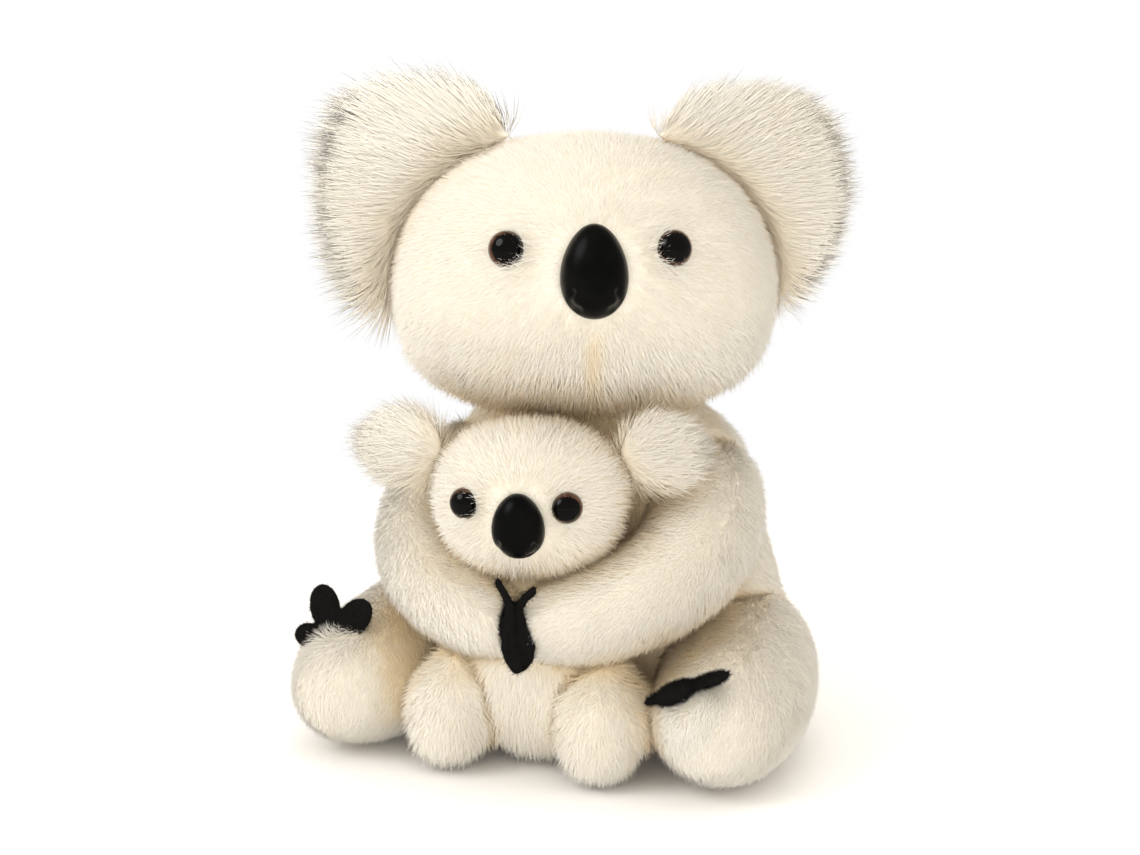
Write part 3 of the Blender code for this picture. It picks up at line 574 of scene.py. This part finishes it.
def finish_piece(obj, body, nodes):
    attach(obj, body)
    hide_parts(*nodes)


# Skins


def tree_of(*node_names):
    """The surfaces of these CAD nodes, for finding how near they are."""
    points, faces = [], []
    for name in node_names:
        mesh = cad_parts[name].data
        start = len(points)
        points += [point.co.copy() for point in mesh.vertices]
        faces += [[start + index for index in face.vertices] for face in mesh.polygons]
    return BVHTree.FromPolygons(points, faces)


def smoothstep(value, low, high):
    share = max(0.0, min(1.0, (value - low) / (high - low)))
    return share * share * (3 - 2 * share)


def largest_part(obj):
    """The largest of an object's loose parts. The others are removed."""
    edit(obj)
    bpy.ops.mesh.separate(type="LOOSE")
    leave_edit()
    parts = sorted(bpy.context.selected_objects, key=lambda part: part.dimensions.length)
    for part in parts[:-1]:
        bpy.data.objects.remove(part)
    return parts[-1]


def sewn_skin(name, covers, sunk, near, fittings=(), rim=None):
    """The outer cloth of a stuffed piece, drawn in by sunk.

    It is drawn in less where a neighbour lies near, so that the two meet, at the fittings, each
    (centre, inner radius, outer radius, share), and off the rim, if it has one.
    """
    skin = copied(name, *covers)
    modify(skin, "REMESH", mode="VOXEL", voxel_size=SKIN_VOXEL)
    apply_all(skin)
    skin = largest_part(skin)
    skin.name = name
    free = skin.vertex_groups.new(name="free")
    for point in skin.data.vertices:
        share = smoothstep(near.find_nearest(point.co)[3], *NEIGHBOUR_GAPS)
        for centre, inner, outer, _ in fittings:
            apart = smoothstep((point.co - centre).length, inner, outer)
            share = min(share, SUNK_AT_FITTING + (1 - SUNK_AT_FITTING) * apart)
        if rim:
            share *= SUNK_OFF_RIM + (1 - SUNK_OFF_RIM) * rim(point.co, point.normal)
        free.add([point.index], share, "REPLACE")
    modify(skin, "SMOOTH", factor=0.5, iterations=4)
    modify(skin, "DISPLACE", strength=-sunk, mid_level=0.0, vertex_group=free.name)
    modify(skin, "SMOOTH", factor=0.5, iterations=3)
    apply_all(skin)
    unwrap(skin)
    skin.data.materials.append(CREAM)
    return skin


def sphere_directions(count):
    """Directions spread evenly over a sphere, along a golden spiral."""
    turn = math.pi * (3 - math.sqrt(5))
    found = []
    for index in range(count):
        height = 1 - (2 * index + 1) / count
        radius, angle = math.sqrt(1 - height * height), index * turn
        found.append(Vector((radius * math.cos(angle), radius * math.sin(angle), height)))
    return found


DIRECTIONS = sphere_directions(44)


def closed_in(near, place, normal):
    """The share of what a point faces that its neighbours shut off, from 0 to 1."""
    faced = [way for way in DIRECTIONS if way.dot(normal) > FACED_LEAST]
    start = place + normal * CREASE_START
    shut = sum(1 for way in faced if near.ray_cast(start, way, CREASE_REACH)[0] is not None)
    return smoothstep(shut / len(faced), *CREASE_SHARES)


def groom(
    skin,
    near,
    length,
    comb,
    lean,
    bald=(),
    tint=None,
    crease=None,
    stand=None,
    dense=None,
    shut=1.0,
):
    """Writes on each point of a skin how its pile grows and what colours it takes, painted shade
    among them.

    The length, comb, tint, crease and stand depend on a point's place and normal, and lean and
    dense on its place alone. bald holds (centre, inner radius, outer radius, share of the length
    at the centre). shut says how much of a closed-in place's painted crease shade shows.
    """
    mesh = skin.data
    lengths, combs, stands, crowds, tints, crease_shades = [], [], [], [], [], []
    for point in mesh.vertices:
        place, normal = point.co, point.normal
        size = length(place, normal) if callable(length) else length
        for centre, inner, outer, least in bald:
            size *= least + (1 - least) * smoothstep((place - centre).length, inner, outer)
        way = comb(place, normal)
        way = way - normal * way.dot(normal)
        way *= (lean(place) if callable(lean) else lean) / max(way.length, LEAST_COMB)
        lengths.append(size)
        combs.extend(way)
        stands.extend(stand(place, normal).normalized() if stand else normal)
        crowds.append(dense(place) if dense else 0.0)
        tints.append(tint(place, normal) if tint else 0.0)
        # Painted crease shade, where the neighbours shut the cloth in
        deep = shut * closed_in(near, place, normal)
        crease_shades.append(max(deep, crease(place, normal)) if crease else deep)
    carry(
        mesh,
        pile=lengths,
        comb=combs,
        stand=stands,
        dense=crowds,
        tint=tints,
        crease=crease_shades,
        shade=[0.5] * len(lengths),
        # The cloth takes more of the painted shade of the pile's depth than the strands' tips
        tip=[0.4] * len(lengths),
    )


COVERS = [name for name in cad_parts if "_cover" in name or "_ear_" in name]


def stuffed(
    name, covers, body, seed, sunk, spacing, strand=STRAND, tuft=0.5, rim=None, own=0.9, **groomed
):
    """A stuffed piece that stands for these CAD nodes: its skin is drawn in, groomed and grown."""
    near = tree_of(*[other for other in COVERS if other not in covers])
    skin = sewn_skin(name, covers, sunk, near, groomed.get("bald", ()), rim)
    groom(skin, near, **groomed)
    grow(skin, strand, spacing, PILE_WILD, tuft, seed, own)
    finish_piece(skin, body, covers)


# Places on the heads


def middle(node_name):
    low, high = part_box(node_name)
    return (low + high) / 2


HEAD_CENTRE = middle("adult_head_cover")
BABY_HEAD_CENTRE = middle("baby_head_cover")


def fitting_place(name, height):
    """The frame of an eye or a nose, under its top: Z out of the face, X to the toy's left."""
    points = [point.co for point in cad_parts[name].data.vertices]
    centre = HEAD_CENTRE if name.startswith("adult") else BABY_HEAD_CENTRE
    outward = (sum(points, Vector()) / len(points) - centre).normalized()
    top = max(points, key=lambda point: point.dot(outward))
    end = min(points, key=lambda point: point.dot(outward))
    out = (top - end).normalized()
    across = UP.cross(out).normalized()
    turn = Matrix((across, out.cross(across), out)).transposed().to_4x4()
    return Matrix.Translation(top - out * height) @ turn


NOSE_PLACE = fitting_place("adult_nose", 0.0105) @ Matrix.Translation((0.0011, -0.0018, 0))
BABY_NOSE_PLACE = fitting_place("baby_nose", 0.008) @ Matrix.Translation((0.0002, -0.0014, 0))
EYES = {
    f"{who}_eye_{side}": (fitting_place(f"{who}_eye_{side}", height), radius, height)
    for who, radius, height in (("adult", 0.0066, 0.0055), ("baby", 0.0056, 0.0045))
    for side in ("left", "right")
}


# Ways for the pile to lie, each from a point's place and normal


def flows(centre, spread, fall):
    """Pile that lies away from a point and falls a little."""
    return lambda place, normal: (place - centre).normalized() * spread + DOWN * fall


def falls(centre, spread, forward=0.0):
    """Pile that falls, and lies a little away from a point and towards the front."""
    return lambda place, normal: (place - centre).normalized() * spread + DOWN + FRONT * forward


def along_arm(paws):
    """Pile that runs forward along an arm to the paws."""
    return lambda place, normal: (paws - place).normalized() + DOWN * 0.75


def stands_at(root, fallen):
    """Fallen pile that stands round the claws' root."""

    def comb(place, normal):
        return fallen(place, normal) * smoothstep((place - root).length, 0.002, 0.018)

    return comb


MOUTH_PARTING = 0.014


def around_face(who, nose_place, spread, fall):
    """Pile that lies away from the nose, and parts at the seam below the adult's."""
    centre = nose_place.translation
    across = nose_place.to_3x3().col[0]

    def comb(place, normal):
        behind = smoothstep(place.y - centre.y, 0.03, 0.075)
        way = (place - centre).normalized() * spread + DOWN * (fall + behind)
        beside = (place - centre).dot(across)
        if who == "adult" and place.z < centre.z and abs(beside) < MOUTH_PARTING:
            way += across * math.copysign(0.25, beside) * (1 - abs(beside) / MOUTH_PARTING)
        return way

    return comb


def fans_from(centre, radius):
    """Pile that stands away from an ear's middle, the more so near its rim."""
    return lambda place, normal: normal + (place - centre) / radius


# Where the pile changes, each from a point's place or its normal


def mouth_seam(place, normal):
    """How deep in the crease of the seam under the adult's nose a point lies, from 0 to 1."""
    local = NOSE_PLACE.inverted() @ place
    if local.y > -0.016 or local.z < -0.035:
        return 0.0
    beside = 1 - smoothstep(abs(local.x), 0.0004, 0.0034)
    # Painted shade along the seam, handed to the pile as crease
    return beside * smoothstep(-local.y, 0.018, 0.026) * 0.7


def upright(place, normal):
    """0 on a head's top and chin, 1 on its sides."""
    return 1 - smoothstep(abs(normal.z), 0.25, 0.75)


def ear_rim(centre, most=1.0):
    """How nearly a point's cloth faces away from the head: 0 on an ear's faces, most at its rim."""

    def share(place, normal):
        return most * smoothstep(normal.dot((place - centre).normalized()), 0.25, 0.8)

    return share


def ear_length(name, top, beside, low):
    """An ear's pile: its length at the ear's top, at its outer side and at its lower end."""
    lower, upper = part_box(name)
    centre, half = (lower.z + upper.z) / 2, (upper.z - lower.z) / 2

    def length(place, normal):
        share = (place.z - centre) / half
        at_top, at_low = smoothstep(share, 0.1, 0.9), smoothstep(-share, 0.1, 0.9)
        return beside + (top - beside) * at_top + (low - beside) * at_low

    return length


def lashes(who, nose_place):
    """How far a point lies beside an eye towards the nose, where the pile hangs over the dome."""

    def share(place):
        most = 0.0
        for name, (eye_place, radius, _) in EYES.items():
            if who in name:
                centre = eye_place.translation
                to_nose = (nose_place.translation - centre).normalized()
                side = smoothstep((place - centre).normalized().dot(to_nose), -0.1, 0.5)
                apart = smoothstep((place - centre).length, radius + 0.001, radius + 0.005)
                most = max(most, side * (1 - apart))
        return most

    return share


def bald_face(who, nose_place, nose_size, inner, outer):
    """Where the nose and the eyes hold a face's cloth. Only the nose shortens its pile."""
    eyes = [place.translation for name, (place, _, _) in EYES.items() if who in name]
    nose_bed = (nose_place.translation, nose_size, nose_size + 0.008, 0.6)
    return [nose_bed, *[(centre, inner, outer, 1.0) for centre in eyes]]


def claws_root(side):
    """Where the claws of a foot are sewn in."""
    low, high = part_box(f"foot_claws_{side}")
    return Vector(((low.x + high.x) / 2, (low.y + high.y) / 2, low.z + 0.003))


# The stuffed pieces

ADULT_LASHES = lashes("adult", NOSE_PLACE)
BABY_LASHES = lashes("baby", BABY_NOSE_PLACE)
PAWS_MEET = Vector((-0.003, -0.085, 0.061))
EAR_ROOTS = HEAD_CENTRE + Vector((0, 0, 0.008))


def head_length(place, normal):
    under_jaw = smoothstep(-normal.z, 0.0, 0.6)
    return (PILE + JAW_PILE_MORE * under_jaw) * (1 + 0.45 * ADULT_LASHES(place))


stuffed(
    "adult_body_plush",
    ["body_cover", "body_filling"],
    "torso",
    11,
    sunk=BODY_SUNK,
    spacing=0.00057,
    length=PILE,
    comb=falls(middle("body_cover"), 0.3),
    lean=1.2,
)
stuffed(
    "adult_head_plush",
    ["adult_head_cover", "adult_head_filling"],
    "head",
    12,
    sunk=ADULT_SUNK,
    spacing=0.0005,
    rim=upright,
    length=head_length,
    comb=around_face("adult", NOSE_PLACE, 0.6, 0.25),
    lean=lambda place: 1.1 - 0.65 * ADULT_LASHES(place),
    dense=ADULT_LASHES,
    bald=bald_face("adult", NOSE_PLACE, 0.013, 0.006, 0.010),
    # Painted shade along the mouth seam
    crease=mouth_seam,
)
stuffed(
    "baby_head_plush",
    ["baby_head_cover", "baby_head_filling"],
    "baby_head",
    13,
    sunk=BABY_SUNK,
    spacing=0.0005,
    tuft=0.9,
    rim=upright,
    length=lambda place, normal: BABY_PILE * (1 + 0.1 * BABY_LASHES(place)),
    comb=around_face("baby", BABY_NOSE_PLACE, 0.6, 0.15),
    lean=lambda place: 0.85 - 0.35 * BABY_LASHES(place),
    dense=BABY_LASHES,
    bald=bald_face("baby", BABY_NOSE_PLACE, 0.010, 0.005, 0.009),
)
stuffed(
    "baby_body_plush",
    ["baby_body_cover", "baby_body_filling"],
    "torso",
    14,
    sunk=BABY_SUNK,
    spacing=0.00055,
    tuft=0.9,
    length=BABY_PILE,
    comb=falls(middle("baby_body_cover"), 0.3),
    lean=0.9,
)


def claws_bed(root):
    """1 round the claws' root, where the pile is crowded."""
    return lambda place: 1 - smoothstep((place - root).length, 0.011, 0.018)


def dress_side(side, seed_shift, ear_pile_lengths):
    """An arm, the two legs and the two ears of one side."""
    root = claws_root(side)
    stuffed(
        f"arm_plush_{side}",
        [f"arm_cover_{side}", f"arm_filling_{side}"],
        f"arm_{side}",
        20 + seed_shift,
        sunk=ADULT_SUNK,
        spacing=0.00045,
        tuft=0.7,
        length=ARM_PILE,
        comb=along_arm(PAWS_MEET),
        lean=1.0,
    )
    stuffed(
        f"leg_plush_{side}",
        [f"leg_cover_{side}", f"leg_filling_{side}"],
        f"leg_{side}",
        30 + seed_shift,
        sunk=LEG_SUNK,
        spacing=0.00045,
        length=PILE,
        comb=stands_at(root, falls(middle(f"leg_cover_{side}"), 0.4, 0.7)),
        lean=1.2,
        bald=[(root, 0.008, 0.016, 1.2)],
        dense=claws_bed(root),
    )
    stuffed(
        f"baby_leg_plush_{side}",
        [f"baby_leg_cover_{side}", f"baby_leg_filling_{side}"],
        "torso",
        40 + seed_shift,
        sunk=BABY_SUNK,
        spacing=0.0005,
        tuft=0.9,
        length=BABY_PILE,
        comb=falls(middle(f"baby_leg_cover_{side}"), 0.8),
        lean=0.9,
    )
    stuffed(
        f"adult_ear_plush_{side}",
        [f"adult_ear_{side}"],
        f"ear_{side}",
        50 + seed_shift,
        sunk=EAR_SUNK,
        spacing=0.00044,
        strand=LONG_STRAND,
        tuft=0.45,
        own=1.0,
        rim=ear_rim(HEAD_CENTRE),
        length=ear_length(f"adult_ear_{side}", *ear_pile_lengths),
        comb=flows(EAR_ROOTS, 1.0, 0.1),
        lean=2.1,
        tint=ear_rim(HEAD_CENTRE, 0.25),
        stand=fans_from(middle(f"adult_ear_{side}").lerp(HEAD_CENTRE, 0.3), 0.2),
        shut=0.4,
    )
    stuffed(
        f"baby_ear_plush_{side}",
        [f"baby_ear_{side}"],
        f"baby_ear_{side}",
        60 + seed_shift,
        sunk=BABY_EAR_SUNK,
        spacing=0.00036,
        strand=LONG_STRAND,
        tuft=0.6,
        own=0.8,
        rim=ear_rim(BABY_HEAD_CENTRE),
        length=BABY_EAR_PILE,
        comb=flows(BABY_HEAD_CENTRE, 0.9, 0.1),
        lean=0.9,
        tint=ear_rim(BABY_HEAD_CENTRE, 0.5),
        stand=fans_from(middle(f"baby_ear_{side}").lerp(BABY_HEAD_CENTRE, 0.3), 0.02),
        shut=0.6,
    )


dress_side("left", 1, (0.0155, 0.0115, 0.0135))
dress_side("right", -1, (0.0215, 0.0125, 0.0215))


# Moulded eyes and noses


def half_ball(name, segments, rings):
    """A closed half of a unit ball on the plane z = 0, with its flat face selected in edit mode."""
    deselect()
    bpy.ops.mesh.primitive_uv_sphere_add(segments=segments, ring_count=rings, radius=1)
    ball = bpy.context.object
    ball.name = name
    edit(ball)
    bpy.ops.mesh.bisect(plane_co=(0, 0, 0), plane_no=(0, 0, 1), clear_inner=True, use_fill=True)
    return ball


def draw_back(depth):
    """Extrudes the selected flat face backwards."""
    bpy.ops.mesh.extrude_region_move(TRANSFORM_OT_translate={"value": (0, 0, -depth)})


def mould(obj, material, smooth_angle, place):
    """Finishes a moulded piece and puts it at its place."""
    bpy.ops.object.shade_smooth_by_angle(angle=math.radians(smooth_angle))
    obj.data.materials.append(material)
    obj.matrix_world = place
    settle(obj)
    return obj


def eye(name, place, radius, height, inward):
    """A domed eye whose rim turns in below the face. Its pupil sits a little towards the nose."""
    ball = half_ball(name, 48, 24)
    draw_back(0.15)
    draw_back(0.12)
    bpy.ops.transform.resize(value=(0.8, 0.8, 1))
    bpy.ops.mesh.select_all(action="SELECT")
    bpy.ops.transform.resize(value=(radius, radius, height), center_override=(0, 0, 0))
    leave_edit()
    pupil = Vector((inward * radius, 0.06 * radius))
    carry(ball.data, iris=[(point.co.xy - pupil).length / radius for point in ball.data.vertices])
    return mould(ball, EYE, 40, place)


# A nostril's groove, whose places, width and depth are shares of the nose
NOSTRIL_ARC = [(0.62, -0.40), (0.70, -0.56), (0.60, -0.72), (0.42, -0.78)]
NOSTRIL_WIDTH = 0.09
NOSTRIL_DEPTH = 0.13


def nostril_depth(x, y):
    """How deep a point of the nose lies in a nostril's groove."""
    least = math.inf
    for (ax, ay), (bx, by) in zip(NOSTRIL_ARC, NOSTRIL_ARC[1:]):
        run, rise = bx - ax, by - ay
        along = ((abs(x) - ax) * run + (y - ay) * rise) / (run**2 + rise**2)
        along = max(0.0, min(1.0, along))
        least = min(least, math.hypot(abs(x) - ax - along * run, y - ay - along * rise))
    return NOSTRIL_DEPTH * (1 - smoothstep(least, 0.2 * NOSTRIL_WIDTH, 1.4 * NOSTRIL_WIDTH))


def nose(name, place, half_width, half_height, protrusion, taper=0.14):
    """An egg-shaped nose with a curved groove for each nostril, flat behind."""
    ball = half_ball(name, 96, 96)
    draw_back(0.22)
    bpy.ops.transform.resize(value=(0.96, 0.96, 1))
    leave_edit()
    for point in ball.data.vertices:
        x, y, z = point.co
        if z > 0:
            z -= nostril_depth(x, y)
        point.co = (x * half_width * (1 - taper * y), y * half_height, z * protrusion)
    return mould(ball, NOSE, 50, place)


for name, (place, radius, height) in EYES.items():
    body = "head" if name.startswith("adult") else "baby_head"
    inward = -0.22 if name.endswith("left") else 0.34
    domed = eye(name.replace("eye", "domed_eye"), place, radius, height, inward)
    finish_piece(domed, body, [name])
for name, body, place, sizes in (
    ("adult", "head", NOSE_PLACE, (0.0118, 0.0166, 0.0105)),
    ("baby", "baby_head", BABY_NOSE_PLACE, (0.0092, 0.0119, 0.008)),
):
    moulded = nose(f"{name}_moulded_nose", place, *sizes)
    finish_piece(moulded, body, [f"{name}_nose"])


# Felt claws


def pad(centre, turn, size):
    """A flattened ball of felt."""
    bpy.ops.mesh.primitive_uv_sphere_add(segments=24, ring_count=12, radius=1)
    made = bpy.context.object
    made.matrix_world = Matrix.Translation(centre) @ turn.to_4x4() @ Matrix.Diagonal((*size, 1))
    settle(made)
    return made


def felt(name, pads, seed):
    """Pads of felt grown into one piece, with a short nap."""
    piece = join(pads)
    piece.name = name
    modify(piece, "REMESH", mode="VOXEL", voxel_size=FELT_VOXEL)
    modify(piece, "SMOOTH", iterations=3)
    apply_all(piece)
    unwrap(piece)
    piece.data.materials.clear()
    piece.data.materials.append(FELT)
    count = len(piece.data.vertices)
    carry(
        piece.data,
        pile=[FELT_NAP] * count,
        comb=[0.0] * 3 * count,
        stand=[value for point in piece.data.vertices for value in point.normal],
        dense=[0.0] * count,
        shade=[0.5] * count,
    )
    grow(piece, FELT_STRAND, FELT_SPACING, FELT_WILD, FELT_TUFT, seed)
    return piece


def frame_of(across, up):
    across, up = Vector(across).normalized(), Vector(up).normalized()
    return Matrix((across, up, across.cross(up))).transposed()


ROOT_PAD = (0.009, 0.005, 0.0015)
ROOT_RISE = 0.002


def foot_claws(name, node_name, turn, shift, lobes, seed):
    """Three round lobes in a fan, each (angle, reach, half length, half width, half thickness)."""
    points = [turn.inverted() @ point.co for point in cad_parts[node_name].data.vertices]
    lows = [min(point[axis] for point in points) for axis in range(3)]
    highs = [max(point[axis] for point in points) for axis in range(3)]
    middle_x, middle_z = (lows[0] + highs[0]) / 2, (lows[2] + highs[2]) / 2
    root = turn @ Vector((middle_x, lows[1] + ROOT_RISE, middle_z))
    root += turn @ Vector(shift)
    pads = [pad(root + turn @ Vector((0, ROOT_RISE, 0)), turn, ROOT_PAD)]
    for angle, reach, half_length, half_width, half_thick in lobes:
        lean = turn @ Matrix.Rotation(-math.radians(angle), 3, "Z")
        size = (half_width, half_length, half_thick)
        pads.append(pad(root + lean @ Vector((0, reach, 0)), lean, size))
    return felt(name, pads, seed)


STRAP_STEPS = 5
STRAP_HALF_LENGTH = 0.0018
STRAP_HALF_THICKNESS = 0.0012
TONGUE_PAD = (0.0011, 0.0085, 0.0075)


def hand_claws(name, strap, tongue, seed):
    """A strap of felt along points, each (x, y, z, half width), on a tongue sewn in at the paws."""
    across = Vector((math.cos(CAMERA_AZIMUTH), math.sin(CAMERA_AZIMUTH), 0))
    turn = frame_of(across, UP)
    pads = [pad(Vector(tongue), Matrix.Identity(3), TONGUE_PAD)]
    for (*start, wide), (*end, wide_end) in zip(strap, strap[1:]):
        for step in range(STRAP_STEPS + 1):
            share = step / STRAP_STEPS
            size = (wide + (wide_end - wide) * share, STRAP_HALF_LENGTH, STRAP_HALF_THICKNESS)
            pads.append(pad(Vector(start).lerp(Vector(end), share), turn, size))
    return felt(name, pads, seed)


MM = 0.001

# Each side's claws, with the strap and the tongue in millimetres and the lobes as foot_claws says
CLAWS = {
    "left": {
        "strap": [
            (9.8, -99.3, 73.1, 1.0),
            (6.9, -99.9, 70.6, 1.3),
            (4.3, -100.6, 66.5, 1.9),
            (4.9, -101.0, 60.0, 3.2),
            (6.7, -101.0, 53.5, 4.3),
            (6.2, -100.8, 48.5, 4.0),
            (5.6, -100.4, 45.9, 2.4),
        ],
        "tongue": (1.4, -94.5, 60.0),
        "foot_turn": frame_of((0.906, 0.029, 0.422), (0, -0.998, 0.07)),
        "foot_shift": (0.001, 0, 0),
        "lobes": [
            (-64, 0.0112, 0.0072, 0.0055, 0.0017),
            (-20, 0.0100, 0.0080, 0.0080, 0.0036),
            (48, 0.0125, 0.0105, 0.0062, 0.0019),
        ],
        "seed": 71,
    },
    "right": {
        "strap": [
            (-2.6, -101.6, 75.5, 1.0),
            (0.1, -102.0, 71.8, 1.2),
            (2.1, -102.3, 67.6, 1.7),
            (2.3, -102.6, 60.0, 2.8),
            (2.7, -102.6, 53.0, 3.9),
            (4.0, -102.4, 48.2, 3.7),
            (4.6, -102.3, 45.4, 2.2),
        ],
        "tongue": (-1.0, -95.5, 60.0),
        "foot_turn": frame_of((0.978, 0.043, 0.203), (-0.208, 0.203, 0.957)),
        "foot_shift": (-0.001, 0, 0),
        "lobes": [
            (-72, 0.0085, 0.0068, 0.0050, 0.0014),
            (-5, 0.0125, 0.0088, 0.0062, 0.0015),
            (54, 0.0125, 0.0084, 0.0060, 0.0014),
        ],
        "seed": 73,
    },
}


def in_metres(point):
    return tuple(value * MM for value in point)


for side, cut in CLAWS.items():
    strap = [in_metres(point) for point in cut["strap"]]
    name = f"hand_claws_{side}"
    hand = hand_claws(f"felt_{name}", strap, in_metres(cut["tongue"]), cut["seed"])
    finish_piece(hand, f"arm_{side}", [name])
    name = f"foot_claws_{side}"
    seed = cut["seed"] + 1
    foot = foot_claws(f"felt_{name}", name, cut["foot_turn"], cut["foot_shift"], cut["lobes"], seed)
    finish_piece(foot, f"leg_{side}", [name])


# Washers, which keep their CAD solids

for name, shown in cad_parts.items():
    if "washer" in name:
        shown.data.materials.clear()
        shown.data.materials.append(WASHER)


# Studio

WHITE = (1, 1, 1)
ROOM_COLOUR = (1.0, 0.945, 0.87)
ROOM_GLOW = 1.14
ROOM_GLOW_IN_GLOSS = 0.2
PAPER = (0.97, 0.97, 0.97)
CARD = (0.2, 0.2, 0.2)
FLOOR_SIZE = 8
FLOOR_FADES = (0.2, 0.45)
PILE_BOUNCES = 8


def area_light(name, place, size, power, shines=True):
    data = bpy.data.lights.new(name, "AREA")
    data.shape = "DISK"
    data.size = size
    data.energy = power
    lamp = bpy.data.objects.new(name, data)
    lamp.location = place
    lamp.visible_glossy = shines
    lamp.rotation_euler = (LOOKS_AT - Vector(place)).to_track_quat("-Z", "Y").to_euler()
    bpy.context.scene.collection.objects.link(lamp)


def add_camera(scene):
    back = Vector(
        (
            math.sin(CAMERA_AZIMUTH) * math.cos(CAMERA_RISE),
            -math.cos(CAMERA_AZIMUTH) * math.cos(CAMERA_RISE),
            math.sin(CAMERA_RISE),
        )
    )
    data = bpy.data.cameras.new("camera")
    data.lens = CAMERA_LENS
    data.clip_start, data.clip_end = 0.05, 20
    camera = bpy.data.objects.new("camera", data)
    camera.location = LOOKS_AT + back * CAMERA_DISTANCE
    camera.rotation_euler = (-back).to_track_quat("-Z", "Y").to_euler()
    scene.collection.objects.link(camera)
    scene.camera = camera


def light_room(scene):
    """A warm even glow on the toy, dimmer in its gloss, and plain white behind it."""
    world = bpy.data.worlds.new("studio")
    world.use_nodes = True
    tree = world.node_tree
    tree.nodes.clear()
    camera_ray, glossy_ray = node(tree, "ShaderNodeLightPath")[0:4:3]
    strength = glossy_ray * (ROOM_GLOW_IN_GLOSS - ROOM_GLOW) + ROOM_GLOW
    values = {"Color": ROOM_COLOUR, "Strength": strength}
    warm = node(tree, "ShaderNodeBackground", None, values)[0]
    white = node(tree, "ShaderNodeBackground", None, {"Color": WHITE, "Strength": 1.0})[0]
    glow = chosen(tree, camera_ray, warm, white)
    node(tree, "ShaderNodeOutputWorld", None, {"Surface": glow})
    scene.world = world


def lay_floor():
    """White paper that fades into the background and shows as grey card in the toy's gloss."""
    deselect()
    bpy.ops.mesh.primitive_plane_add(size=FLOOR_SIZE, location=(0, 0, 0))
    floor = bpy.context.object
    floor.name = "floor"
    material, tree = new_material("floor")
    place = node(tree, "ShaderNodeTexCoord")[3]
    reach = node(tree, "ShaderNodeVectorMath", {"operation": "LENGTH"}, {"Vector": place})[0]
    camera_ray, glossy_ray = node(tree, "ShaderNodeLightPath")[0:4:3]
    paper = node(tree, "ShaderNodeBsdfDiffuse", None, {"Color": PAPER})[0]
    card = node(tree, "ShaderNodeBsdfDiffuse", None, {"Color": CARD})[0]
    white = node(tree, "ShaderNodeEmission", None, {"Color": WHITE, "Strength": 1.0})[0]
    near = chosen(tree, glossy_ray, paper, card)
    both = chosen(tree, reach.between(*FLOOR_FADES) * camera_ray, near, white)
    node(tree, "ShaderNodeOutputMaterial", None, {"Surface": both})
    floor.data.materials.append(material)


scene = bpy.context.scene
add_camera(scene)
area_light("key", (-1.1, -1.1, 1.3), 1.2, 9)
area_light("fill", (0.5, -1.5, 0.12), 1.0, 9, shines=False)
area_light("top", (0.1, 0.3, 1.7), 1.4, 4, shines=False)
light_room(scene)
lay_floor()
scene.view_settings.view_transform = "Standard"
# Light goes on from hair to hair in a pale pile
scene.cycles.diffuse_bounces = PILE_BOUNCES
